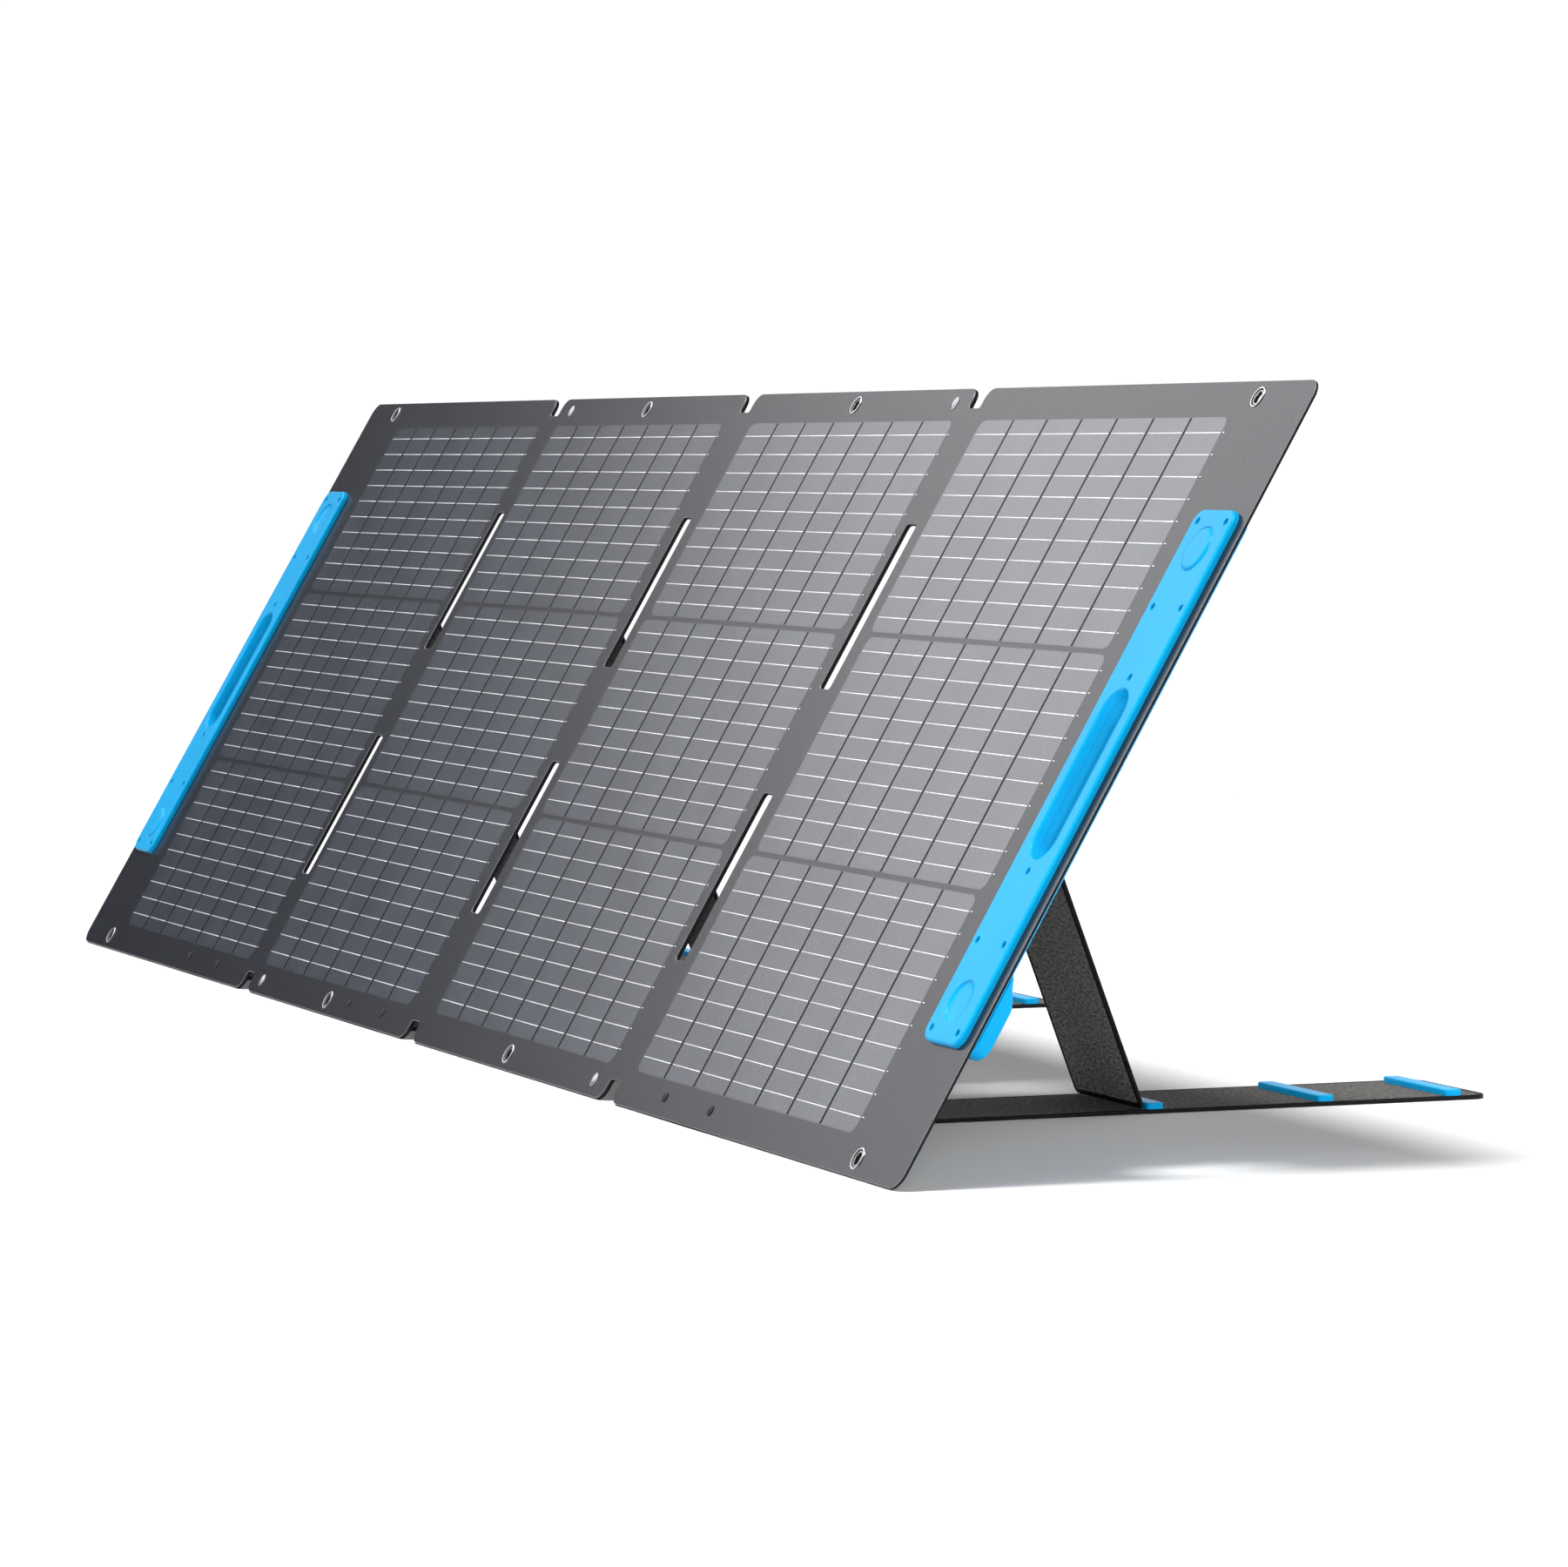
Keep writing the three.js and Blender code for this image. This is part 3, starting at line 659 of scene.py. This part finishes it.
def leaf_sheet(name):
    """The stiff part of a leaf, up to where its folds begin."""
    leaf = LEAVES[name]
    left = leaf["from"] + (0.0 if name == "leaf_1" else BAND_HALF)
    right = leaf["to"] - (0.0 if name == "leaf_4" else BAND_HALF)
    right_corner = CORNER_RADIUS if name == "leaf_4" else SQUARE_CORNER
    left_corner = CORNER_RADIUS if name == "leaf_1" else SQUARE_CORNER
    radii = (right_corner, left_corner, left_corner, right_corner)
    outline = rounded_rect(right - left, LEAF_HEIGHT, radii, 8, ((left + right) / 2, MIDDLE))
    holes = [circle((eyelet_place(name), height), EYELET_HOLE)[::-1] for height in eyelet_heights()]
    if handle_place(name) is not None:
        holes.append(grip_hole((handle_place(name), MIDDLE), GRIP_CLEARANCE / 2))

    def seam(a, b):
        at_left = name != "leaf_1" and abs(a[0] - left) < 0.1 and abs(b[0] - left) < 0.1
        at_right = name != "leaf_4" and abs(a[0] - right) < 0.1 and abs(b[0] - right) < 0.1
        return at_left or at_right

    builder = Builder()
    builder.plate(outline, SHEET_PROFILE, holes, seam=seam, slots=SHEET_SLOTS)
    piece = builder.finish(f"{name}_sheet", PLANE, [SKIN, EDGE, BACK, RIM_PAINTED_HIGHLIGHT])
    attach(piece, name)
    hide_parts(f"{name}_back_cover", f"{name}_stiffener", f"{name}_front_laminate")


def eyelet_heights():
    return (EYELET_INSET, LEAF_HEIGHT - EYELET_INSET)


def fold_side(direction):
    """The right (1) or left (-1) half of a fold band's outline at the bottom, from outside to notch."""
    points = [(BAND_HALF, 0.0)]
    points += arc((2 * NOTCH_HALF, NOTCH_HALF), NOTCH_HALF, 270, 180, 8)
    points.append((NOTCH_HALF, NOTCH_DEPTH - 3.0))
    points += arc((NOTCH_HALF - 3.0, NOTCH_DEPTH - 3.0), 3.0, 0, 90, 3)
    return [(direction * x, y) for x, y in points]


def fold_band(left_body, right_body, place, bend):
    """The soft sheet over one fold, with its notches and slots, cut across where it would bend."""
    bottom = fold_side(-1) + fold_side(1)[::-1]
    top = [(x, LEAF_HEIGHT - y) for x, y in bottom][::-1]
    outline = [(x + place, y) for x, y in bottom + top]
    holes = []
    for side in (-1, 1):
        centre = (place, MIDDLE + side * SLOT_OFFSET)
        holes.append(rounded_rect(2 * SLOT_HALF, SLOT_LENGTH, SLOT_CORNER, 5, centre)[::-1])

    def seam(a, b):
        return abs(abs(a[0] - place) - BAND_HALF) < 0.1 and abs(a[0] - b[0]) < 0.1

    builder = Builder()
    builder.plate(outline, BAND_PROFILE, holes, seam=seam, slots=BAND_SLOTS)
    looks = [SKIN, EDGE, BACK, RIM_PAINTED_HIGHLIGHT]
    piece = builder.finish(f"fold_band_{left_body[-1]}_{right_body[-1]}", Matrix(), looks, weighted=False)
    cut_across(piece.data, [place + step for step in BAND_CUTS])
    piece.data.transform(PLANE)
    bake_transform(piece)


def cell_rows(name):
    """The left end and the middle height of each row of cells."""
    leaf = LEAVES[name]
    for row, shift in enumerate(ROW_SHIFT):
        yield leaf["cells"] + shift * leaf["shift"], MIDDLE + (1 - row) * ROW_PITCH


def cell_plates(name):
    """The cells as they show through the skin: low pillows with soft edges, and a dark strip in each gap."""
    gap = CELL_PITCH - CELL_WIDTH + GAP_OVERLAP
    builder = Builder()
    for left, height in cell_rows(name):
        for column in range(CELLS_PER_ROW):
            centre = (left + (column + 0.5) * CELL_PITCH, height)
            right_corner = CELL_END_CORNER if column == CELLS_PER_ROW - 1 else CELL_CORNER
            left_corner = CELL_END_CORNER if column == 0 else CELL_CORNER
            radii = (right_corner, left_corner, left_corner, right_corner)
            outline = rounded_rect(CELL_WIDTH, CELL_HEIGHT, radii, 4, centre)
            loops = []
            for inset, rise, fade in CELL_RINGS:
                loop = builder.loop(inset_loop(outline, inset), THICKNESS + rise)
                for index in loop:
                    builder.fade[index] = fade
                loops.append(loop)
            for low, high in zip(loops, loops[1:]):
                builder.wall(low, high)
            builder.face(loops[-1])
            builder.face(loops[0][::-1])
            if column:
                place = (left + column * CELL_PITCH, height)
                size = (gap, CELL_HEIGHT - 1.5)
                builder.box(place, size, THICKNESS - 0.05, THICKNESS + 0.045, slot=1)
    piece = builder.finish(f"{name}_cell_faces", PLANE, [CELL, CELL_GAP], sharp=20.0)
    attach(piece, name)
    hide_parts(f"{name}_cells")


def ribbons(name):
    """The silver ribbons, broken at each gap between cells, with a dark solder point in each break."""
    low = THICKNESS + 0.05
    high = THICKNESS + 0.22
    length = CELL_PITCH - RIBBON_BREAK
    radius = RIBBON_WIDTH / 2 - ROUND_END
    point = [(0, low), (1.1, low), (0.8, high - 0.08), (0, high - 0.05)]
    silver = Builder()
    solder = Builder()
    for left, height in cell_rows(name):
        for line in range(RIBBONS_PER_CELL):
            v = height + (line - (RIBBONS_PER_CELL - 1) / 2) * RIBBON_PITCH
            for column in range(CELLS_PER_ROW):
                u = left + (column + 0.5) * CELL_PITCH
                silver.plate(
                    rounded_rect(length, RIBBON_WIDTH, radius, 2, (u, v)),
                    [(0.0, low), (0.0, high - 0.07), (0.2, high)],
                )
                if column:
                    solder.lathe((u - CELL_PITCH / 2, v), point, 8)
            end = left + CELLS_PER_ROW * CELL_PITCH + RIBBON_OVERHANG
            silver.plate(
                rounded_rect(3.0, RIBBON_WIDTH, 0.3, 2, (end, v + 0.3)),
                [(0.0, THICKNESS - 0.05), (0.0, THICKNESS + 0.1), (0.2, THICKNESS + 0.16)],
            )
    for builder, label, look in ((silver, "ribbons", RIBBON), (solder, "solder_points", SOLDER)):
        piece = builder.finish(f"{name}_{label}", PLANE, [look], weighted=False)
        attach(piece, name)


def eyelets(name):
    """Rolled nickel rings, front and back."""
    front = THICKNESS
    ring = [
        (5.0, -0.75), (7.4, -0.75), (8.2, -0.3), (8.2, 0.0), (4.95, 0.0), (4.95, front),
        (8.2, front), (8.3, front + 0.3), (7.9, front + 0.65), (7.4, front + 0.75), (6.9, front + 0.6),
    ]
    throat = [
        (6.9, front + 0.6), (6.2, front + 0.2), (5.2, front - 0.3), (4.4, front - 1.4), (4.4, -0.5),
        (5.0, -0.75),
    ]
    for label, height in zip(("bottom", "top"), eyelet_heights()):
        centre = (eyelet_place(name), height)
        builder = Builder()
        builder.lathe(centre, ring, 48)
        # The throat takes the darker nickel: painted shade inside the ring.
        builder.lathe(centre, throat, 48, slot=1)
        looks = [NICKEL, NICKEL_PAINTED_SHADE]
        piece = builder.finish(f"{name}_eyelet_ring_{label}", PLANE, looks, sharp=50.0, weighted=False)
        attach(piece, name)
        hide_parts(f"{name}_eyelet_{label}")


def rivet_caps():
    """Stepped round caps at the outer ends of the two inner leaves."""
    base = THICKNESS
    profile = [
        (0, base - 0.1), (5.6, base - 0.1), (5.7, base + 0.35), (5.2, base + 0.6), (4.7, base + 0.55),
        (4.2, base + 0.95), (2.8, base + 1.35), (1.4, base + 1.5), (0, base + 1.54),
    ]
    for name, side in (("leaf_2", -1), ("leaf_3", 1)):
        for label, height in zip(("bottom", "top"), eyelet_heights()):
            builder = Builder()
            builder.lathe((side * CAP_FROM_MIDDLE, height), profile, 36)
            piece = builder.finish(f"{name}_cap_{label}", PLANE, [CAP_METAL], sharp=50.0, weighted=False)
            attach(piece, name)
            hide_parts(f"{name}_rivet_cap_{label}")


# ---- Handles ----

def handle_outline(centre):
    return rounded_rect(HANDLE_WIDTH, HANDLE_LENGTH, HANDLE_CORNER, 10, centre)


# Recesses and discs of the front shell as (radius, height over its face) pairs, from their rim inwards.
SCREW_RECESS = [(3.2, 0.0), (2.85, -0.15), (2.7, -0.5), (2.7, -3.4)]
BOSS = [
    (17.6, 0.0), (17.3, -0.35), (16.9, -0.5), (16.5, -0.35), (16.1, 0.2),
    (15.6, 0.8), (14.9, 1.2), (13.6, 1.35), (7.0, 1.4),
]
DIMPLE = [(16.9, 0.0), (16.4, -0.1), (16.0, -0.45), (15.6, -1.1), (14.6, -1.65), (12.0, -2.05), (7.0, -2.2)]
LIP_WALL = 6.5
LIP_PROFILE = [(0.0, 6.1), (0.4, 6.6), (1.4, 7.6), (2.7, 8.8), (3.3, 9.25), (3.9, 9.45), (4.5, 9.5)]
LIP_HOLE_INSETS = [0.0, 0.0, 0.0, 0.0, 0.05, 0.25, 0.6]


def screw_centres(centre):
    return [(centre[0] + x, centre[1] + end * y) for x, y in SCREW_PLACES for end in (-1, 1)]


def front_shell(side, body, centre, raised):
    """The front shell, with its boss, its dimple, its screw recesses and the collar in the grip hole."""
    features = [(point, SCREW_RECESS) for point in screw_centres(centre)]
    features.append(((centre[0], MIDDLE + raised * DISC_OFFSET), BOSS))
    features.append(((centre[0], MIDDLE - raised * DISC_OFFSET), DIMPLE))
    builder = Builder()
    builder.plate(handle_outline(centre), fillet(FRONT_SHELL, 2.1, 6), [grip_hole(centre)], features=features)
    collar = [(0.0, -THICKNESS + 0.15), (0.0, 0.1)]
    builder.plate(grip_rim(centre, COLLAR_WALL), collar, [grip_hole(centre)])
    lift = Matrix.Translation((0, 0, (THICKNESS + SHELL_GAP) * MM))
    piece = builder.finish(f"handle_{side}_front", PLANE @ lift, [PLASTIC])
    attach(piece, body)
    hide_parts(f"handle_{side}_front_shell")


def rear_shell(side, body, centre):
    """The rear shell, with a lip round the grip hole for the fingers."""
    profile = fillet(REAR_SHELL, 2.4, 6)
    builder = Builder()
    builder.plate(handle_outline((0, 0)), profile, [grip_hole((0, 0))], hole_insets=[0.0] * len(profile))
    builder.plate(grip_rim((0, 0), LIP_WALL), LIP_PROFILE, [grip_hole((0, 0))], hole_insets=LIP_HOLE_INSETS)
    place = Matrix.Translation((centre[0] * MM, centre[1] * MM, -SHELL_GAP * MM))
    piece = builder.finish(f"handle_{side}_rear", PLANE @ place @ Matrix.Rotation(math.pi, 4, "Y"), [PLASTIC])
    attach(piece, body)
    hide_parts(f"handle_{side}_rear_shell")


def handle_screws(side, body, centre):
    """Screw heads at the bottom of the recesses."""
    floor = THICKNESS + FRONT_SHELL - 3.3
    head = [(0, 0), (2.4, 0), (2.4, 0.5), (2.0, 0.8), (1.1, 0.85), (1.0, 0.3), (0, 0.3)]
    builder = Builder()
    for point in screw_centres(centre):
        builder.lathe(point, [(radius, floor + height) for radius, height in head], 18)
    piece = builder.finish(f"handle_{side}_screws", PLANE, [STEEL], weighted=False)
    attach(piece, body)


def handle(side, body, place, raised):
    centre = (place, MIDDLE)
    front_shell(side, body, centre, raised)
    rear_shell(side, body, centre)
    handle_screws(side, body, centre)


# ---- Junction box ----

def box_place():
    """From the box's own coordinates, with its depth to the back, to the frame."""
    middle = MIDDLE - HANDLE_LENGTH / 2 + BOX_LENGTH / 2
    centre = Matrix.Translation((HANDLE_PLACE * MM, middle * MM, BOX_FLOOR * MM))
    return PLANE @ centre @ Matrix.Rotation(math.pi, 4, "Y")


def lean(points, share):
    """Draws the upper end in towards the bottom end, for the slope that meets the rear shell."""
    top = BOX_LENGTH / 2
    return [(x, y - share * max(0.0, (y + top) / BOX_LENGTH) ** 2) for x, y in points]


def junction_base():
    """The part of the junction box on the rear shell: a smooth tray, open where the cover goes."""
    outline = rounded_rect(BOX_WIDTH, BOX_LENGTH, BOX_CORNER, 10)
    base = Builder()
    rings = []
    for height, slope in ((-0.2, 0.0), (2.8, 7.0), (5.6, 14.0), (BOX_PARTING, BOX_SLOPE)):
        rings.append(base.loop(lean(outline, slope), height))
    for low, high in zip(rings, rings[1:]):
        base.wall(low, high)
    inside = inset_loop(outline, BOX_WALL)
    inner = base.loop(lean(inside, BOX_SLOPE), BOX_PARTING)
    floor = base.loop(lean(inside, BOX_FLOOR_SLOPE), BOX_FLOOR_HEIGHT)
    base.wall(rings[-1], inner)
    base.wall(inner, floor)
    base.face(floor)
    base.face(rings[0][::-1])
    piece = base.finish("junction_base", box_place(), [PLASTIC])
    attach(piece, "leaf_4")
    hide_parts("junction_box_base")


def junction_cover():
    """The cover behind the tray. Its rim is round and goes on with the tray's slope."""
    outline = rounded_rect(BOX_WIDTH, BOX_LENGTH, BOX_CORNER, 10)
    cover = Builder()
    loops = []
    radius = BOX_DEPTH - BOX_PARTING - BOX_SEAM
    for inset, height in fillet(BOX_DEPTH, radius, 7, BOX_PARTING + BOX_SEAM):
        slope = BOX_SLOPE + COVER_SLOPE * (height - BOX_PARTING)
        loops.append(cover.loop(lean(inset_loop(outline, inset * COVER_RIM), slope), height))
    for low, high in zip(loops, loops[1:]):
        cover.wall(low, high)
    cover.face(loops[-1])
    cover.face(loops[0][::-1])
    piece = cover.finish("junction_cover", box_place(), [PLASTIC])
    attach(piece, "leaf_4")
    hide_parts("junction_box_cover")


# ---- Stands ----

BOARD_PROFILE = [
    (4.2, 0.2), (3.7, 0.0), (0.7, 0.0), (0.2, 0.3), (0.0, 0.8),
    (0.0, BOARD - 0.8), (0.2, BOARD - 0.3), (0.7, BOARD), (3.7, BOARD), (4.2, BOARD - 0.2),
]
BOARD_RIM = [1] * (len(BOARD_PROFILE) - 1)


def leg_angle():
    """Angle of the open leg, turned about X from a leg that hangs along -Y."""
    hinge_height = LEG_HINGE * math.sin(TILT) - LEG_BEHIND * math.cos(TILT)
    return math.pi - math.asin((hinge_height - BOARD - LEG_CLEARANCE) / LEG_LENGTH)


def stand_strip(name, u):
    """The base strip: a cloth-covered board with a bound edge and two round corners."""
    outline = [(u - STAND_WIDTH / 2, STRIP_START), (u + STAND_WIDTH / 2, STRIP_START)]
    tip = STRIP_END - STRIP_CORNER
    outline += arc((u + STAND_WIDTH / 2 - STRIP_CORNER, tip), STRIP_CORNER, 0, 90, 8)
    outline += arc((u - STAND_WIDTH / 2 + STRIP_CORNER, tip), STRIP_CORNER, 90, 180, 8)
    builder = Builder()
    builder.plate(outline, BOARD_PROFILE, slots=(0, BOARD_RIM, 0))
    piece = builder.finish(f"{name}_strip_board", GROUND, [STAND, EDGE])
    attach(piece, f"{name}_strip")
    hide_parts(f"{name}_stand_strip")


def stand_bars(name, u):
    """Low stop bars, flat on top with a rounded rim."""
    for index, place in enumerate(BAR_PLACES, 1):
        builder = Builder()
        outline = rounded_rect(BAR_LENGTH, BAR_WIDTH, 3.0, 5, (u + BAR_SHIFT, place))
        builder.plate(outline, fillet(BOARD + LAYER_GAP + BAR_HEIGHT, 1.3, 5, BOARD - 0.05))
        piece = builder.finish(f"{name}_stop_bar_{index}", GROUND, [PLASTIC])
        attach(piece, f"{name}_strip")
        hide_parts(f"{name}_stand_bar_{index}")


def leg_matrix(u):
    """From the leg's own coordinates, with its hinge at the origin, to the frame."""
    hinge = Matrix.Translation((u * MM, LEG_HINGE * MM, -LEG_BEHIND * MM))
    return PLANE @ hinge @ Matrix.Rotation(leg_angle() - TILT, 4, "X")


def stand_leg(name, u):
    """The leg: a cloth-covered board with a bound edge. Its front cloth is a lighter copy of the stand cloth:
    painted light, as that face is in shade.
    """
    length = LEG_LENGTH - LEG_START
    builder = Builder()
    outline = rounded_rect(STAND_WIDTH, length, 5.0, 6, (0, -LEG_START - length / 2))
    profile = [(inset, height - BOARD) for inset, height in BOARD_PROFILE]
    builder.plate(outline, profile, slots=(0, BOARD_RIM, 2))
    piece = builder.finish(f"{name}_leg_board", leg_matrix(u), [STAND, EDGE, LEG_CLOTH_PAINTED_LIGHT])
    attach(piece, f"{name}_leg")
    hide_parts(f"{name}_stand_leg")


def cloth_shape(path, width, u):
    """Points and faces of a strip of cloth that follows path, a list of (y, z) points in the frame."""
    points = []
    faces = []
    for index, (y, z) in enumerate(path):
        before = path[max(0, index - 1)]
        after = path[min(len(path) - 1, index + 1)]
        length = math.hypot(after[0] - before[0], after[1] - before[1])
        normal_y = -(after[1] - before[1]) / length
        normal_z = (after[0] - before[0]) / length
        for side, lift in ((-1, 0), (1, 0), (1, 1), (-1, 1)):
            x = (u + side * width / 2) * MM
            thickness = lift * HINGE_CLOTH
            points.append((x, y + normal_y * thickness, z + normal_z * thickness))
    for low in range(0, (len(path) - 1) * 4, 4):
        for corner in range(4):
            following = (corner + 1) % 4
            faces.append([low + corner, low + following, low + 4 + following, low + 4 + corner])
    faces.append([3, 2, 1, 0])
    last = (len(path) - 1) * 4
    faces.append([last, last + 1, last + 2, last + 3])
    return points, faces


def cloth_hinge(name, path, width, u):
    """A strip of stand cloth that follows path and bends at a joint between two bodies."""
    points, faces = cloth_shape(path, width, u)
    mesh = bpy.data.meshes.new(name)
    mesh.from_pydata(points, [], faces)
    mesh.materials.append(STAND)
    place = mesh.attributes.new("leaf_place", "FLOAT_VECTOR", "POINT")
    place.data.foreach_set("vector", [value for x, y, z in points for value in (x, z, y)])
    tidy_mesh(mesh)
    for polygon in mesh.polygons:
        polygon.use_smooth = True
    mesh.set_sharp_from_angle(angle=math.radians(50))
    piece = bpy.data.objects.new(name, mesh)
    bpy.context.scene.collection.objects.link(piece)
    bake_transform(piece)
    return piece


def side_point(matrix, v, w):
    """A point of a leaf, a strip or a leg as (y, z) in the frame."""
    point = matrix @ (Vector((0, v, w)) * MM)
    return (point.y, point.z)


def leg_hinge(name, u):
    """Cloth from the back of the leaf over the top of the leg."""
    leg = leg_matrix(u)
    path = [side_point(PLANE, LEG_HINGE + step, -0.2) for step in (22, 16, 10, 6)]
    path.append(side_point(PLANE, LEG_HINGE + 3.0, -1.2))
    path += [side_point(leg, -step, -BOARD - 0.1) for step in (3.0, 6, 12, 18, 24)]
    piece = cloth_hinge(f"{name}_leg_hinge_cloth", path, STAND_WIDTH - 6, u)
    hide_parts(f"{name}_stand_hinge_tab")


def strip_hinge(name, u):
    """Cloth from the back of the leaf round its bottom edge to the base strip."""
    path = [side_point(PLANE, v, -0.1) for v in (30, 22, 14, 9)]
    path.append(side_point(GROUND, 6.5, 4.4))
    path += [side_point(GROUND, y, BOARD + 0.75) for y in (11, 16, 24, 32)]
    cloth_hinge(f"{name}_strip_hinge_cloth", path, STAND_WIDTH - 8, u)


def strip_fixings(name, u):
    """Small dark rivets in the bottom margin, over the strip's hinge."""
    base = THICKNESS - 0.1
    head = [(0, base), (4.2, base), (4.0, base + 0.6), (2.8, base + 1.0), (0, base + 1.1)]
    builder = Builder()
    for side in (-1, 1):
        builder.lathe((u + side * FIXING_SPREAD, FIXING_HEIGHT), head, 24)
    piece = builder.finish(f"{name}_strip_fixings", PLANE, [RUBBER], weighted=False)
    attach(piece, name)


# ---- CAD nodes that show as they are ----

def dress_frame_nodes():
    """Gives the CAD nodes that have no finer piece their looks."""
    looks = {"magnet": MAGNET, "junction_circuit_board": CIRCUIT, "outlet": RUBBER}
    for node_name, piece in frame["nodes"].items():
        for key, look in looks.items():
            if key in node_name:
                piece.data.materials.clear()
                piece.data.materials.append(look)


# ---- Camera, lights and floor ----

CAMERA_PLACE = (4.580, -1.763, 0.483)
CAMERA_TURN = math.radians(68.73)
CAMERA_DROP = math.radians(3.23)
CAMERA_LENS = 134.1
FLOOR_RADIUS = 3400.0
FLOOR_LEVEL = -0.4
WHITE = (1.04, 1.04, 1.04, 1)
LIGHTS_AIM = Vector((0, 0, 0.25))


def add_camera():
    """From the right of the panel's front, turned left from Y and a little down."""
    data = bpy.data.cameras.new("camera")
    data.sensor_width = 36.0
    data.lens = CAMERA_LENS
    data.clip_end = 60.0
    camera = bpy.data.objects.new("camera", data)
    bpy.context.scene.collection.objects.link(camera)
    camera.location = CAMERA_PLACE
    forward = Vector((
        -math.sin(CAMERA_TURN) * math.cos(CAMERA_DROP),
        math.cos(CAMERA_TURN) * math.cos(CAMERA_DROP),
        -math.sin(CAMERA_DROP),
    ))
    camera.rotation_euler = forward.to_track_quat("-Z", "Y").to_euler()
    bpy.context.scene.camera = camera


def add_floor():
    """A pale round floor. Past its edge the surround is as bright."""
    builder = Builder()
    builder.face(builder.loop(circle((0, 0), FLOOR_RADIUS, 96), FLOOR_LEVEL))
    look, tree, shader = new_material("floor", (0.9, 0.9, 0.9), 0.9)
    shader.inputs["Specular IOR Level"].default_value = 0.0
    cloud = noise(tree, object_vector(tree), 0.6)
    color = ramp(tree, cloud, 0.3, 0.7, (0.90, 0.90, 0.90), (0.92, 0.92, 0.92))
    tree.links.new(color, shader.inputs["Base Color"])
    builder.finish("floor", Matrix(), [look], weighted=False)


def add_world():
    """A surround that the camera sees as white. It lights the object with a dim sky and a white band
    low down behind it."""
    world = bpy.data.worlds.new("studio")
    bpy.context.scene.world = world
    world.use_nodes = True
    tree = world.node_tree
    direction = node(tree, "ShaderNodeTexCoord").outputs["Generated"]
    parts = node(tree, "ShaderNodeSeparateXYZ", {0: direction})
    behind = smooth_step(tree, parts.outputs[1], 0.0, 0.2)
    low = smooth_step(tree, parts.outputs[2], 0.45, 0.12)
    sky = ramp(tree, behind, 0.0, 1.0, (0.04, 0.04, 0.042), (0.45, 0.45, 0.45))
    mix = node(tree, "ShaderNodeMix", {"Factor": math_node(tree, "MULTIPLY", behind, low)}, data_type="RGBA")
    tree.links.new(sky, mix.inputs[6])
    mix.inputs[7].default_value = WHITE
    seen = node(tree, "ShaderNodeLightPath").outputs["Is Camera Ray"]
    final = node(tree, "ShaderNodeMix", {"Factor": seen}, data_type="RGBA")
    tree.links.new(mix.outputs[2], final.inputs[6])
    final.inputs[7].default_value = WHITE
    tree.links.new(final.outputs[2], tree.nodes["Background"].inputs["Color"])


def direction_to(azimuth, elevation):
    """A unit vector, with the angles in degrees and azimuth from X towards Y."""
    turn = math.radians(azimuth)
    rise = math.radians(elevation)
    return Vector((math.cos(turn) * math.cos(rise), math.sin(turn) * math.cos(rise), math.sin(rise)))


def soft_box(name, azimuth, elevation, distance, size, radiance, roll=0):
    """A white square light that faces the object from a direction, with a given brightness."""
    data = bpy.data.lights.new(name, "AREA")
    data.shape = "SQUARE"
    data.size = size
    data.energy = radiance * math.pi * size * size
    return place_light(data, azimuth, elevation, distance, roll)


def soft_sun(name, azimuth, elevation, strength, spread):
    """Even light from one direction, for the floor and the general brightness."""
    data = bpy.data.lights.new(name, "SUN")
    data.energy = strength * math.pi
    data.angle = math.radians(spread)
    place_light(data, azimuth, elevation, 5.0, 0)


def place_light(data, azimuth, elevation, distance, roll):
    """Puts the light at a distance in a direction from the middle of the object, and turns it there."""
    light = bpy.data.objects.new(data.name, data)
    bpy.context.scene.collection.objects.link(light)
    towards = direction_to(azimuth, elevation)
    light.location = towards * distance + LIGHTS_AIM
    facing = (-towards).to_track_quat("-Z", "Y").to_matrix().to_4x4()
    light.rotation_euler = (facing @ Matrix.Rotation(math.radians(roll), 4, "Z")).to_euler()
    return light


# ---- Assembly ----

for leaf_name in LEAVES:
    leaf_sheet(leaf_name)
    cell_plates(leaf_name)
    ribbons(leaf_name)
    eyelets(leaf_name)
for fold in FOLDS:
    fold_band(*fold)
rivet_caps()
handle("left", "leaf_1", -HANDLE_PLACE, -1)
handle("right", "leaf_4", HANDLE_PLACE, 1)
junction_base()
junction_cover()
for leaf_name, stand_place in STANDS.items():
    stand_strip(leaf_name, stand_place)
    stand_bars(leaf_name, stand_place)
    stand_leg(leaf_name, stand_place)
    leg_hinge(leaf_name, stand_place)
    strip_hinge(leaf_name, stand_place)
    strip_fixings(leaf_name, stand_place)
dress_frame_nodes()

add_camera()
add_floor()
add_world()
# The side box is there for the sheen on the leaves only.
side_box = soft_box("side_box", 214, 35.5, distance=9.0, size=8.4, radiance=2.75, roll=45)
side_box.visible_diffuse = False
soft_box("key_box", -48, 58, distance=4.2, size=1.4, radiance=5.0)
# Out of the reflections, or the front turns white when it is seen from the far left.
fill_box = soft_box("fill_box", -13, 9, distance=4.2, size=1.2, radiance=13.0)
fill_box.visible_glossy = False
soft_sun("top_sun", -98, 72, strength=1.1, spread=14)
bpy.context.scene.view_settings.view_transform = "Standard"
